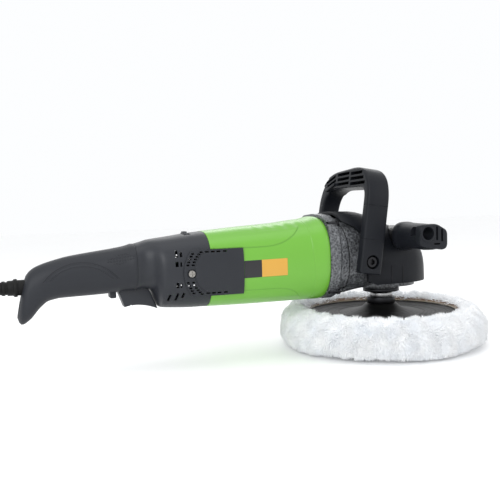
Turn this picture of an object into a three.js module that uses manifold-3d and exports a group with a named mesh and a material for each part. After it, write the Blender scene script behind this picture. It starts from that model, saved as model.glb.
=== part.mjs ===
// Rotary polisher: an angle-drive machine with a rear handle, a loop handle over the gear head,
// a side grip, and a wool bonnet on a backing pad.
// Millimetres. X runs forward from the rear handle to the gear head, Y to the operator's left, Z up.
// The origin is the centre of the bonnet's working face, on the spindle's axis.

import * as THREE from 'three';
import { mergeVertices } from 'three/addons/utils/BufferGeometryUtils.js';
import Module from 'manifold-3d';

const wasm = await Module();
wasm.setup();

// ---------------------------------------------------------------- driving dimensions

const gap = 0.3;                 // between pieces that touch
const slack = 1.0;               // around a piece that moves

const axisZ = 97;                // motor axis above the working face
const headLength = 83;           // spindle axis to the motor housing's front face
const motorLength = 124;         // green motor housing
const rearLength = 69;           // rear housing, to the front of the rear handle
const handleLength = 105;        // rear handle
const motorHalf = 37;            // half-width of the motor housing at its rear joint
const shellWall = 3;             // housings
const handleWall = 2.8;          // rear handle's shells

const headRadius = 36.5;         // gear head's upright part
const headBottom = 67;           // underside of the gear head's upright part
const chamberRadius = 30.5;      // gear chamber
const coverWall = 2.8;           // head cover
const coverBottom = 71.5;
const coverRadius = 43.5;
const coverCentreX = 4.5;

const loopWidth = 115;           // loop handle, outside
const loopRise = 100.5;            // loop handle, bolt centres to the top
const loopArmThick = 11;
const loopDepth = 22.5;            // along the tool
const loopCornerRadius = 42;
const loopCrossbar = 22.5;        // height of its grip at the right arm
const loopDrop = 9.5;              // how much lower its left corner sits
const loopLean = 8.3;            // degrees forward
const loopBoltX = -43;

const gripLength = 56;           // side grip
const gripRadius = 13.5;
const gripZ = 121.5;

const spindleRadius = 7;
const crownRadius = 28;
const crownTeeth = 43;
const pinionTeeth = 10;
const pinionRadius = 7.6;        // at its large end
const shaftRadius = 5;
const coreRadius = 19;           // armature
const airGap = 1.2;              // armature to stator
const statorRadius = 33.5;
const fanRadius = 30;
const commutatorRadius = 13;

const padDiameter = 180;
const padTop = 36;               // upper face of the backing pad above the working face
const padThick = 12;
const bonnetDiameter = 225;
const bonnetHeight = 46;
const hemRadius = 78;            // bonnet's opening

const cordRadius = 4;
const coilRadius = 45;           // middle of the coil's turns
const coilTurnsWide = 4;
const coilLayers = 2;

// ---------------------------------------------------------------- places worked out from them

const flangeX = -headLength;
const motorRearX = flangeX - motorLength;
const neckX = motorRearX - rearLength;
const tailX = neckX - handleLength;

// ---------------------------------------------------------------- solids

function solid(geometry) {
  const bare = geometry.clone();
  bare.deleteAttribute('normal');
  bare.deleteAttribute('uv');
  const merged = mergeVertices(bare, 1e-4);
  const corners = merged.index.array;
  const triangles = [];
  for (let i = 0; i < corners.length; i += 3) {
    const [a, b, c] = [corners[i], corners[i + 1], corners[i + 2]];
    if (a !== b && b !== c && c !== a) triangles.push([a, b, c]);
  }
  const place = merged.attributes.position;
  const [p, q, r] = [new THREE.Vector3(), new THREE.Vector3(), new THREE.Vector3()];
  let volume = 0;
  for (const [a, b, c] of triangles) {
    p.fromBufferAttribute(place, a);
    q.fromBufferAttribute(place, b);
    r.fromBufferAttribute(place, c);
    volume += p.dot(q.cross(r));
  }
  const outward = volume < 0 ? triangles.map(([a, b, c]) => [a, c, b]) : triangles;
  return new wasm.Manifold(new wasm.Mesh({
    numProp: 3,
    vertProperties: new Float32Array(place.array),
    triVerts: new Uint32Array(outward.flat()),
  }));
}

function geometryOf(manifold) {
  const mesh = manifold.getMesh();
  const geometry = new THREE.BufferGeometry();
  geometry.setAttribute('position', new THREE.BufferAttribute(mesh.vertProperties, 3));
  geometry.setIndex(new THREE.BufferAttribute(mesh.triVerts, 1));
  geometry.computeVertexNormals();
  return geometry;
}

const union = (...solids) => solids.reduce((sum, one) => sum.add(one));
const cut = (body, ...tools) => tools.reduce((rest, tool) => rest.subtract(tool), body);

// Turns a shape's own X, Y and depth onto the model's axes, for a depth along the named axis.
const bases = {
  x: [[0, 1, 0], [0, 0, 1], [1, 0, 0]],
  y: [[1, 0, 0], [0, 0, 1], [0, -1, 0]],
  z: [[1, 0, 0], [0, 1, 0], [0, 0, 1]],
};

function prism(shape, axis, from, to, curveSegments = 8) {
  const geometry = new THREE.ExtrudeGeometry(shape, { depth: to - from, bevelEnabled: false, curveSegments });
  const columns = bases[axis].map((column) => new THREE.Vector3(...column));
  geometry.applyMatrix4(new THREE.Matrix4().makeBasis(...columns));
  const start = axis === 'y' ? to : from;
  geometry.translate(axis === 'x' ? start : 0, axis === 'y' ? start : 0, axis === 'z' ? start : 0);
  return solid(geometry);
}

const outline = (...points) => new THREE.Shape(points.map(([x, y]) => new THREE.Vector2(x, y)));

function box([x0, y0, z0], [x1, y1, z1]) {
  const geometry = new THREE.BoxGeometry(x1 - x0, y1 - y0, z1 - z0);
  geometry.translate((x0 + x1) / 2, (y0 + y1) / 2, (z0 + z1) / 2);
  return solid(geometry);
}

// A turned piece: profile points are [radius, distance along the axis].
function turned(profile, axis, [x, y, z] = [0, 0, 0], segments = 20) {
  const points = profile.map(([radius, along]) => new THREE.Vector2(radius, along));
  const geometry = new THREE.LatheGeometry(points, segments);
  if (axis === 'x') geometry.rotateZ(-Math.PI / 2);
  if (axis === 'z') geometry.rotateX(Math.PI / 2);
  geometry.translate(x, y, z);
  return solid(geometry);
}

const rod = (radius, from, to) => [[0, from], [radius, from], [radius, to], [0, to]];
const tube = (inner, outer, from, to) => [
  [inner, from], [outer, from], [outer, to], [inner, to], [inner, from],
];
const cylinder = (axis, radius, from, to, place, segments) =>
  turned(rod(radius, from, to), axis, place, segments);
const ring = (axis, inner, outer, from, to, place, segments) =>
  turned(tube(inner, outer, from, to), axis, place, segments);

// A station is a rounded section across the tool, from its bottom point to its top point [x, z].
const station = (bottom, top, half, power = 2.8) => ({ bottom, top, half, power });
const upright = (x, up, down, half, power) => station([x, axisZ - down], [x, axisZ + up], half, power);

const grown = (stations, by) => stations.map(({ bottom, top, half, power }) =>
  station([bottom[0], bottom[1] - by], [top[0], top[1] + by], half + by, power));

function stretched(stations, rear, front) {
  const moved = ({ bottom, top, half, power }, by) =>
    station([bottom[0] + by, bottom[1]], [top[0] + by, top[1]], half, power);
  return [moved(stations[0], -rear), ...stations.slice(1, -1), moved(stations.at(-1), front)];
}

function loft(stations, count = 20) {
  const positions = [];
  const middle = ({ bottom, top }) => [(bottom[0] + top[0]) / 2, 0, (bottom[1] + top[1]) / 2];
  const rounded = (value, power) => Math.sign(value) * Math.abs(value) ** (2 / power);
  for (const one of stations) {
    const [centreX, , centreZ] = middle(one);
    for (let i = 0; i < count; i += 1) {
      const turn = (2 * Math.PI * i) / count;
      const side = rounded(Math.cos(turn), one.power) * one.half;
      const rise = rounded(Math.sin(turn), one.power) / 2;
      const leanX = (one.top[0] - one.bottom[0]) * rise;
      positions.push(centreX + leanX, side, centreZ + (one.top[1] - one.bottom[1]) * rise);
    }
  }
  positions.push(...middle(stations[0]), ...middle(stations.at(-1)));
  const rearCentre = stations.length * count;
  const frontCentre = rearCentre + 1;
  const last = (stations.length - 1) * count;
  const index = [];
  for (let i = 0; i < count; i += 1) {
    const next = (i + 1) % count;
    for (let s = 0; s < last; s += count) {
      index.push(s + i, s + next, s + count + i);
      index.push(s + next, s + count + next, s + count + i);
    }
    index.push(rearCentre, next, i, frontCentre, last + i, last + next);
  }
  const geometry = new THREE.BufferGeometry();
  geometry.setAttribute('position', new THREE.Float32BufferAttribute(positions, 3));
  geometry.setIndex(index);
  return solid(geometry);
}

// ---------------------------------------------------------------- finishes

const finishes = {
  green: { color: 0x7ac14b, roughness: 0.45, metalness: 0 },
  black: { color: 0x2a2d33, roughness: 0.6, metalness: 0 },
  rubber: { color: 0x17181a, roughness: 0.5, metalness: 0 },
  casting: { color: 0x55585c, roughness: 0.5, metalness: 0.6 },
  steel: { color: 0xb4b7ba, roughness: 0.3, metalness: 1 },
  darkSteel: { color: 0x3c3e42, roughness: 0.4, metalness: 0.9 },
  laminate: { color: 0x6d7074, roughness: 0.5, metalness: 0.8 },
  copper: { color: 0xb4663a, roughness: 0.35, metalness: 0.9 },
  brass: { color: 0xc9a44c, roughness: 0.35, metalness: 1 },
  carbon: { color: 0x1c1c1e, roughness: 0.7, metalness: 0 },
  board: { color: 0x2c5a3a, roughness: 0.5, metalness: 0 },
  wool: { color: 0xeef0f2, roughness: 1, metalness: 0 },
  hide: { color: 0xa98f72, roughness: 0.9, metalness: 0 },
  string: { color: 0xd8d4c8, roughness: 0.9, metalness: 0 },
  cord: { color: 0x1b1c1f, roughness: 0.55, metalness: 0 },
};

const polisher = new THREE.Group();

function add(name, body, finish) {
  const mesh = new THREE.Mesh(geometryOf(body), new THREE.MeshStandardMaterial(finishes[finish]));
  mesh.name = name;
  polisher.add(mesh);
}

const sides = [['right', -1], ['left', 1]];

// ---------------------------------------------------------------- motor housing

const motorStations = [
  upright(motorRearX - gap, motorHalf, 38.4, motorHalf),
  upright(motorRearX + 0.32 * motorLength, motorHalf + 3, 39.2, motorHalf + 2),
  upright(motorRearX + 0.6 * motorLength, motorHalf + 5, 39.4, motorHalf + 3.5),
  upright(motorRearX + 0.8 * motorLength, motorHalf + 7.5, 39.4, motorHalf + 4.5),
  upright(motorRearX + 0.9 * motorLength, motorHalf + 8, 39.4, motorHalf + 5.5),
  upright(flangeX - gap - 3, motorHalf + 10.8, 39.6, motorHalf + 6.6, 3),
  upright(flangeX - gap, motorHalf + 10, 38.8, motorHalf + 5.8, 3),
];

const coverFrontX = motorRearX + 31.5;
const coverArcX = motorRearX + 7;
const coverRound = 33;           // radius of a brush cover's rear end
const coverZ = axisZ - 2;
const coverHalfHigh = 22.5;
const coverStand = 1.4;          // how far a brush cover stands out of the housing
const screwX = coverArcX - coverRound + 5.5;

function motorHousing() {
  const outer = loft(motorStations);
  const inner = loft(stretched(grown(motorStations, -shellWall), 1, 1));
  return cut(outer, inner);
}
add('motor_housing', motorHousing(), 'green');

// ---------------------------------------------------------------- rear housing

const rearStations = [
  upright(neckX, 27.3, 17, 23.5, 2.4),
  upright(neckX + 7, 29, 16.5, 22, 2.4),
  upright(neckX + 14.5, 31, 17.5, 24.5, 2.5),
  upright(neckX + 23, 32, 35.5, 32.5),
  upright(neckX + 31, 32.8, 36.6, 34),
  upright(neckX + 54, 35.6, 38, 36),
  upright(motorRearX - 2 * gap, motorHalf - 0.2, 38.2, motorHalf - 0.2),
];

const triggerHalf = 7.5;
const triggerRearX = neckX - 17.5;
const triggerPocket = box([triggerRearX - slack, -triggerHalf - slack, 70],
  [neckX + 12, triggerHalf + slack, 89]);
const dialX = motorRearX - 17;
const dialRadius = 13;
const dialThick = 4;
const dialZ = 121.8;
const rearBearingX = motorRearX - 9;

// Short air slots stand in arcs behind each brush cover.
function airSlots(side) {
  const slots = [];
  const arcs = [[coverRound + 5.5, [-37, -20, 20, 37]], [coverRound + 12, [-20, 20]]];
  for (const [distance, turns] of arcs) {
    for (const turn of turns) {
      const angle = THREE.MathUtils.degToRad(turn);
      const x = coverArcX - distance * Math.cos(angle);
      const z = coverZ + distance * Math.sin(angle);
      const [near, far] = side < 0 ? [-motorHalf - 2, -18] : [18, motorHalf + 2];
      slots.push(box([x - 1.6, near, z - 2.4], [x + 1.6, far, z + 2.4]));
    }
  }
  return slots;
}

function rearHousing() {
  const outer = loft(rearStations);
  const inner = loft(stretched(grown(rearStations, -shellWall), 1, 1));
  const shell = cut(outer, inner);
  const bridge = box([motorRearX - 15, -motorHalf, axisZ - 15], [motorRearX - 5, motorHalf, axisZ + 15]);
  const innerFill = loft(stretched(grown(rearStations, -shellWall + 0.5), 1, 1));
  const seat = cylinder('x', 11 + gap, rearBearingX - 4, 0, [0, 0, axisZ]);
  const shaftHole = cylinder('x', shaftRadius + slack, motorRearX - 16, 0, [0, 0, axisZ]);
  const dialSlot = box(
    [dialX - dialThick / 2 - slack, -dialRadius, axisZ + 15],
    [dialX + dialThick / 2 + slack, dialRadius, axisZ + 60],
  );
  const screwHoles = sides.map(([, side]) =>
    cylinder('y', 1.6 + gap, Math.min(0, side * 60), Math.max(0, side * 60), [screwX, 0, coverZ], 12));
  return cut(
    union(shell, bridge.intersect(innerFill)),
    seat, shaftHole, dialSlot, triggerPocket, ...screwHoles, ...airSlots(-1), ...airSlots(1),
  );
}
add('rear_housing', rearHousing(), 'black');

// ---------------------------------------------------------------- brush covers

const wholeBody = [...rearStations.slice(2, -1), ...motorStations];

function coverOutline(inset) {
  const shape = new THREE.Shape();
  const high = coverHalfHigh - inset;
  const round = coverRound - inset;
  const half = Math.asin(high / round);
  shape.moveTo(coverFrontX - inset, coverZ - high);
  shape.lineTo(coverFrontX - inset, coverZ + high);
  shape.absarc(coverArcX, coverZ, round, Math.PI - half, Math.PI + half, false);
  shape.lineTo(coverFrontX - inset, coverZ - high);
  return shape;
}

function brushCover(side) {
  const skin = cut(loft(grown(wholeBody, coverStand)), loft(grown(wholeBody, gap)));
  const [near, far] = side < 0 ? [-70, -20] : [20, 70];
  const panel = prism(coverOutline(0), 'y', near, far);
  const screwHole = cylinder('y', 1.6 + gap, near, far, [screwX, 0, coverZ], 12);
  return cut(skin.intersect(panel), screwHole);
}

// Half-width of a lofted body at a place along the tool.
function halfAt(stations, x) {
  const after = stations.findIndex(({ bottom }) => bottom[0] >= x);
  const [a, b] = [stations[after - 1], stations[after]];
  const share = (x - a.bottom[0]) / (b.bottom[0] - a.bottom[0]);
  return a.half + share * (b.half - a.half);
}

for (const [name, side] of sides) {
  add(`brush_cover_${name}`, brushCover(side), 'black');
  const seatY = halfAt(wholeBody, screwX) + coverStand + gap;
  const profile = [
    [0, seatY - 14], [1.6, seatY - 14], [1.6, seatY], [3.4, seatY], [3, seatY + 1.8], [0, seatY + 1.8],
  ].map(([radius, along]) => [radius, side * along]);
  add(`cover_screw_${name}`, turned(profile, 'y', [screwX, 0, coverZ], 12), 'steel');
}

// ---------------------------------------------------------------- rear handle, two shells

const handleStations = [
  station([tailX - 4, 57.5], [tailX + 4, 98], 11.5, 2.4),
  station([tailX - 0.5, 54.5], [tailX + 8.5, 104], 15.5, 2.5),
  station([tailX + 6.5, 58.5], [tailX + 13, 107], 16, 2.5),
  station([tailX + 16, 69], [tailX + 20, 109.8], 16.3, 2.5),
  station([tailX + 24, 75], [tailX + 29, 112.4], 16.5, 2.5),
  station([tailX + 36, 77], [tailX + 43, 115.6], 17, 2.5),
  station([neckX - 0.39 * handleLength, 77.6], [neckX - 0.38 * handleLength, 118.6], 18.5, 2.5),
  station([neckX - 18, 78.5], [neckX - 18, 121.3], 21.5, 2.4),
  station([neckX - gap, 80], [neckX - gap, 124.3], 24, 2.4),
];

const guardZ = 89;
const guardRadius = 7.2;
const guardFlange = 9.5;
const switchRearX = neckX - 54;
const switchFrontX = neckX - 20;
const handleScrewRadius = 1.6;
const handleScrews = [[neckX - 12, 112], [tailX + 14, 74]];
const lockButtonX = neckX - 10;
const lockButtonZ = 97;
const lockButtonRadius = 5;

function handleBody() {
  const outer = loft(handleStations);
  const inner = loft(stretched(grown(handleStations.slice(2), -handleWall), 0, 1));
  const bosses = handleScrews.map(([x, z]) => cylinder('y', 4.2, -40, 40, [x, 0, z], 16).intersect(outer));
  const lip = box([triggerRearX - 7, -7, 73.2], [triggerRearX - slack, 7, 80]);
  const guardHole = union(
    cylinder('x', guardRadius + gap, tailX - 10, tailX + 20, [0, 0, guardZ], 20),
    cylinder('x', guardFlange + gap, tailX + 14, tailX + 20, [0, 0, guardZ], 20),
  );
  const buttonHole = cylinder('y', lockButtonRadius + slack / 2, 10, 40, [lockButtonX, 0, lockButtonZ], 20);
  return cut(union(cut(outer, inner), ...bosses, lip), guardHole, triggerPocket, buttonHole);
}

function handleShell(side) {
  const [near, far] = side < 0 ? [-60, -gap / 2] : [gap / 2, 60];
  const half = handleBody().intersect(box([tailX - 60, near, 0], [neckX + 60, far, 200]));
  const holes = handleScrews.map(([x, z]) =>
    cylinder('y', handleScrewRadius + gap, -8, 40, [x, 0, z], 12));
  const headSeats = handleScrews.map(([x, z]) =>
    cylinder('y', handleScrewRadius * 2 + gap, 10, 40, [x, 0, z], 12));
  return cut(half, ...holes, ...headSeats);
}

for (const [name, side] of sides) add(`handle_${name}`, handleShell(side), 'black');

handleScrews.forEach(([x, z], i) => {
  const r = handleScrewRadius;
  const profile = [[0, -7], [r, -7], [r, 10 + gap], [2 * r, 10 + gap], [2 * r, 12.5], [0, 12.5]];
  add(`handle_screw_${i + 1}`, turned(profile, 'y', [x, 0, z], 12), 'steel');
});

// ---------------------------------------------------------------- switch, trigger, buttons, electronics

function trigger() {
  const shape = new THREE.Shape();
  shape.moveTo(neckX + 21.2, 60.2);
  shape.quadraticCurveTo(neckX + 4, 68, neckX - 11, 64);
  shape.lineTo(triggerRearX, 82);
  shape.lineTo(neckX + 10, 82.5);
  shape.lineTo(neckX + 11, 77.5);
  shape.lineTo(neckX + 14.5, 76.8);
  shape.closePath();
  const paddle = prism(shape, 'y', -triggerHalf, triggerHalf, 6);
  const plunger = box([neckX - 14, -3, 81], [neckX - 9, 3, 86]);
  return union(paddle, plunger);
}
add('trigger', trigger(), 'black');

add('switch_body', box([switchRearX, -9, 84], [switchFrontX, 9, 108]), 'black');

function lockOnButton() {
  const stem = cylinder('y', lockButtonRadius, 15, 27, [lockButtonX, 0, lockButtonZ], 20);
  const flange = cylinder('y', lockButtonRadius + 2, 14, 16, [lockButtonX, 0, lockButtonZ], 20);
  return union(stem, flange);
}
add('lock_on_button', lockOnButton(), 'rubber');

function speedDial() {
  const teeth = 28;
  const shape = new THREE.Shape();
  for (let i = 0; i < teeth; i += 1) {
    const angle = (2 * Math.PI * i) / teeth;
    const radius = i % 2 ? dialRadius - 0.7 : dialRadius;
    const [y, z] = [radius * Math.cos(angle), dialZ + radius * Math.sin(angle)];
    if (i === 0) shape.moveTo(y, z);
    else shape.lineTo(y, z);
  }
  shape.closePath();
  return prism(shape, 'x', dialX - dialThick / 2, dialX + dialThick / 2);
}
add('speed_dial', speedDial(), 'black');

add('control_board', box([neckX + 8, -13, 104], [dialX - 6, 13, 106]), 'board');

// ---------------------------------------------------------------- gear housing

const bearingWallX = flangeX + 9;
const bearings = {
  lower: { bore: 6, outer: 16, thick: 10 },
  upper: { bore: 4, outer: 11, thick: 7 },
  front: { bore: 6, outer: 16, thick: 10 },
  rear: { bore: 4, outer: 11, thick: 7 },
};
const chamberBottom = 77;
const chamberTop = 106;
const retainerBottom = 59.3;
const retainerTop = 63;
const noseRadius = 20;
const bossY = loopWidth / 2 - loopArmThick - gap;
const gripBossY = 46;
const gripBossRadius = 11;
const studRadius = 5;
const loopBoltRadius = 4;

const toothClearance = 0.8;      // the gears' tips just clear each other at every angle
const crownFaceZ = axisZ - pinionRadius - toothClearance;
const crownWebZ = crownFaceZ - 4;
const castingTop = 118;
const castingShoulder = 114;
const lockPinX = 19;
const lockPinRadius = 2.2;
const lockTravel = 3.5;
const lockCapRadius = 7;
const lockCapBottom = castingTop + 1;
const lockCapTop = castingTop + 9.5;

const castingStations = [
  upright(flangeX + gap / 2, 50, 39.4, 43.8, 3),
  upright(flangeX + 11, 50, 39.4, 43.8, 3),
  upright(flangeX + 13.5, 46.5, 37, 41.8, 3),
  upright(flangeX + 38, 44.5, 33, 39.5, 3),
  upright(-18, 38, 29.8, 37, 3),
  upright(0, 31, 29.8, 32, 3),
];

const flangeScrewPlaces = [[-1, 40], [1, 40], [-1, -30], [1, -30]];
const flangeScrewY = 33;

function castingOuter(by) {
  return union(
    loft(grown(stretched(castingStations, 0, by), by)),
    cylinder('z', headRadius + by, headBottom - by, castingShoulder + by, [0, 0, 0], 28),
    cylinder('z', crownRadius - 2 + by, headBottom, castingTop + by, [0, 0, 0], 20),
    cylinder('z', noseRadius + by, retainerTop + gap - by, headBottom + 5, [0, 0, 0], 20),
  );
}

function loopBosses(by) {
  return sides.map(([, side]) => {
    const [from, to] = side < 0 ? [-bossY, -30] : [30, bossY];
    return cylinder('y', 12.5 + by, from, to, [loopBoltX, 0, axisZ], 16);
  });
}

function gripBosses(by) {
  return sides.map(([, side]) => {
    const [from, to] = side < 0 ? [-gripBossY, -22] : [22, gripBossY];
    return cylinder('y', gripBossRadius + by, from, to, [0, 0, gripZ], 16);
  });
}

function gearHousing() {
  const outer = union(castingOuter(0), ...loopBosses(0), ...gripBosses(0));
  const fanSpace = cylinder('x', fanRadius + 4, flangeX - 1, bearingWallX, [0, 0, axisZ], 20);
  const bearingSeat = cylinder('x', bearings.front.outer + gap, bearingWallX - 1, bearingWallX + 10.3,
    [0, 0, axisZ], 20);
  const shaftHole = cylinder('x', 11, bearingWallX, -10, [0, 0, axisZ], 16);
  const frontSpace = cylinder('x', 25, bearingWallX + 16, -15, [0, 0, axisZ - 1], 20);
  const chamber = cylinder('z', chamberRadius, chamberBottom, chamberTop, [0, 0, 0], 24);
  const upperSeat = cylinder('z', bearings.upper.outer + gap, chamberTop - 1, chamberTop + 8, [0, 0, 0], 20);
  const lowerSeatRadius = bearings.lower.outer + gap;
  const lowerSeat = cylinder('z', lowerSeatRadius, retainerTop - 5, chamberBottom + 1, [0, 0, 0], 20);
  const boltHoles = sides.map(([, side]) => {
    const [from, to] = side < 0 ? [-60, -29] : [29, 60];
    return cylinder('y', loopBoltRadius + gap, from, to, [loopBoltX, 0, axisZ], 16);
  });
  const studHoles = sides.map(([, side]) => {
    const [from, to] = side < 0 ? [-60, -20] : [20, 60];
    return cylinder('y', studRadius + gap, from, to, [0, 0, gripZ], 16);
  });
  const screwHoles = flangeScrewPlaces.map(([side, up]) =>
    cylinder('x', 2 + gap, flangeX - 2, flangeX + 20, [0, side * flangeScrewY, axisZ + up], 12));
  const screwSeats = flangeScrewPlaces.map(([side, up]) =>
    cylinder('x', 4.2, flangeX + 11, flangeX + 30, [0, side * flangeScrewY, axisZ + up], 12));
  const lockHole = union(
    cylinder('z', lockPinRadius + 0.5, chamberTop - 1, castingTop, [lockPinX, 0, 0], 12),
    cylinder('z', lockCapRadius + 0.5, lockCapBottom - lockTravel - slack, 160, [lockPinX, 0, 0], 16),
  );
  return cut(outer, fanSpace, bearingSeat, shaftHole, frontSpace, chamber, upperSeat, lowerSeat,
    ...boltHoles, ...studHoles, ...screwHoles, ...screwSeats, lockHole);
}

add('gear_housing', gearHousing(), 'casting');

flangeScrewPlaces.forEach(([side, up], i) => {
  const profile = [[0, flangeX + 2], [2, flangeX + 2], [2, flangeX + 11 + gap], [3.6, flangeX + 11 + gap],
    [3.2, flangeX + 14], [0, flangeX + 14]];
  add(`flange_screw_${i + 1}`, turned(profile, 'x', [0, side * flangeScrewY, axisZ + up], 12), 'steel');
});

// ---------------------------------------------------------------- head cover

const coverStations = (by) => [
  upright(flangeX + 17, 52 + by, 60, 44 + by, 3),
  upright(-40, 51.5 + by, 60, coverRadius + by, 3),
  upright(-27, 48 + by, 60, coverRadius + by, 3),
  upright(-14, 41 + by, 60, coverRadius + by, 3),
  ...[6, 20, 32, 39].map((x) =>
    upright(x, 35 - 0.014 * x ** 2 + by, 60, Math.sqrt(coverRadius ** 2 - (x - coverCentreX) ** 2) + by, 3)),
  upright(coverCentreX + coverRadius - 1.5 + by, 8, 60, 9 + by, 2.4),
];

function coverSide(by) {
  return outline(
    [flangeX + 16 - by, 160], [flangeX + 16 - by, 140 - by], [flangeX + 30, 133 - by], [-42 - by, 121 - by],
    [-40 - by, 76], [-30 - by, coverBottom - by], [80, coverBottom - by], [80, 160],
  );
}

function headCover() {
  const outer = loft(coverStations(0), 28).intersect(prism(coverSide(0), 'y', -80, 80));
  const inner = loft(coverStations(-coverWall), 28);
  const lockHole = cylinder('z', lockCapRadius + 0.5, castingTop - 10, 170, [lockPinX, 0, 0], 16);
  return cut(outer, inner, castingOuter(gap), ...loopBosses(gap), ...gripBosses(gap), lockHole);
}
add('head_cover', headCover(), 'black');

function spindleLockButton() {
  return turned([[0, crownFaceZ + 9], [lockPinRadius, crownFaceZ + 9], [lockPinRadius, lockCapBottom],
    [lockCapRadius, lockCapBottom], [lockCapRadius, lockCapTop - 1.5], [lockCapRadius - 1.5, lockCapTop],
    [0, lockCapTop]], 'z', [lockPinX, 0, 0], 16);
}
add('spindle_lock_button', spindleLockButton(), 'black');

// ---------------------------------------------------------------- spindle and gears

const retainerBore = spindleRadius + 2;
const collarTop = 57.5;
const nutTop = 52.8;
const nutBottom = 46;
const crownBottom = 79;

const retainer = ring('z', retainerBore, noseRadius, retainerBottom, retainerTop, [0, 0, 0], 20);
add('bearing_retainer', retainer, 'darkSteel');

function spindle() {
  return turned([
    [0, padTop - 6], [spindleRadius - 0.4, padTop - 6], [spindleRadius - 0.4, nutTop + gap],
    [12.5, nutTop + gap], [12.5, collarTop], [bearings.lower.bore + 1.4, collarTop],
    [bearings.lower.bore + 1.4, retainerTop + gap], [bearings.lower.bore - 0.1, retainerTop + gap],
    [bearings.lower.bore - 0.1, chamberTop - 1.5], [bearings.upper.bore - 0.1, chamberTop - 1.5],
    [bearings.upper.bore - 0.1, chamberTop + 7.5], [0, chamberTop + 7.5],
  ], 'z', [0, 0, 0], 16);
}
add('spindle', spindle(), 'steel');

function bearing({ bore, outer, thick }, axis, from, place) {
  return ring(axis, bore + gap / 2, outer, from, from + thick, place, 20);
}
add('lower_bearing', bearing(bearings.lower, 'z', retainerTop + 2 * gap, [0, 0, 0]), 'steel');
add('upper_bearing', bearing(bearings.upper, 'z', chamberTop + gap, [0, 0, 0]), 'steel');

// A gear outline: pointed teeth of the given height around a circle.
function toothed(radius, height, teeth) {
  const shape = new THREE.Shape();
  for (let i = 0; i < 2 * teeth; i += 1) {
    const angle = (Math.PI * i) / teeth;
    const reach = i % 2 ? radius : radius - height;
    const [x, y] = [reach * Math.cos(angle), reach * Math.sin(angle)];
    if (i === 0) shape.moveTo(x, y);
    else shape.lineTo(x, y);
  }
  shape.closePath();
  return shape;
}

function crownGear() {
  const teeth = prism(toothed(crownRadius, 1.8, crownTeeth), 'z', crownBottom, crownFaceZ, 1);
  const bore = cylinder('z', bearings.lower.bore - 0.1 + gap, crownBottom - 1, crownWebZ + 1, [0, 0, 0], 16);
  const dish = cylinder('z', crownRadius - 9, crownWebZ, crownFaceZ + 1, [0, 0, 0], 20);
  return cut(teeth, bore, dish);
}
add('crown_gear', crownGear(), 'darkSteel');

const pinionFrontX = -crownRadius + 11;
const pinionRearX = -crownRadius - 1;

function pinion() {
  const teeth = prism(toothed(pinionRadius, 1.8, pinionTeeth), 'x', pinionRearX, pinionFrontX, 1);
  const bore = cylinder('x', 4 + gap, pinionRearX - 1, pinionFrontX + 1, [0, 0, 0], 16);
  return cut(teeth, bore).translate([0, 0, axisZ]);
}
add('pinion', pinion(), 'darkSteel');

// ---------------------------------------------------------------- armature

const frontBearingX = bearingWallX;
const coreFrontX = flangeX - 41;
const coreRearX = flangeX - 95;
const windingReach = 11;
const commutatorFrontX = coreRearX - windingReach - 2;
const commutatorRearX = commutatorFrontX - 16;
const fanX = flangeX - 16;

function armatureShaft() {
  const seat = bearings.front.bore - 0.1;
  const tail = bearings.rear.bore - 0.1;
  return turned([[0, rearBearingX - 4], [tail, rearBearingX - 4], [tail, rearBearingX + 4.2],
    [shaftRadius, rearBearingX + 4.2], [shaftRadius, frontBearingX - 1], [seat, frontBearingX - 1],
    [seat, frontBearingX + 11], [shaftRadius, frontBearingX + 11], [shaftRadius, pinionRearX - gap],
    [4, pinionRearX - gap], [4, pinionFrontX + 1], [0, pinionFrontX + 1]], 'x', [0, 0, axisZ], 20);
}
add('armature_shaft', armatureShaft(), 'steel');

const sleeve = shaftRadius + 1.6;
const armatureCore = ring('x', sleeve + gap, coreRadius, coreRearX, coreFrontX, [0, 0, axisZ], 24);
add('armature_core', armatureCore, 'laminate');

function armatureWinding() {
  const bore = shaftRadius + gap;
  const [rear, front] = [coreRearX - gap, coreFrontX + gap];
  return turned([
    [bore, rear - windingReach], [coreRadius - 6, rear - windingReach], [coreRadius - 2, rear - 6],
    [coreRadius - 2, rear], [sleeve, rear], [sleeve, front], [coreRadius - 2, front],
    [coreRadius - 2, front + 6],
    [coreRadius - 6, front + windingReach], [bore, front + windingReach], [bore, rear - windingReach]],
  'x', [0, 0, axisZ], 20);
}
add('armature_winding', armatureWinding(), 'copper');

add('commutator', ring('x', shaftRadius + gap, commutatorRadius, commutatorRearX, commutatorFrontX,
  [0, 0, axisZ], 20), 'copper');

function fan() {
  const blades = 7;
  const thick = 1.6;
  const hub = ring('x', shaftRadius + gap, 9, fanX, fanX + 12, [0, 0, axisZ], 18);
  const plate = ring('x', shaftRadius + gap, fanRadius, fanX + 10.4, fanX + 12, [0, 0, axisZ], 18);
  const vanes = [];
  for (let i = 0; i < blades; i += 1) {
    const vane = new THREE.BoxGeometry(12, thick, fanRadius - 9);
    vane.translate(fanX + 6, 0, (fanRadius + 7) / 2);
    vane.rotateX((2 * Math.PI * i) / blades);
    vane.translate(0, 0, axisZ);
    vanes.push(solid(vane));
  }
  return union(hub, plate, ...vanes);
}
add('fan', fan(), 'black');

add('front_bearing', bearing(bearings.front, 'x', frontBearingX, [0, 0, axisZ]), 'steel');
add('rear_bearing', bearing(bearings.rear, 'x', rearBearingX - 3.5, [0, 0, axisZ]), 'steel');

// ---------------------------------------------------------------- stator and brushes

const statorBore = coreRadius + airGap;

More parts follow.
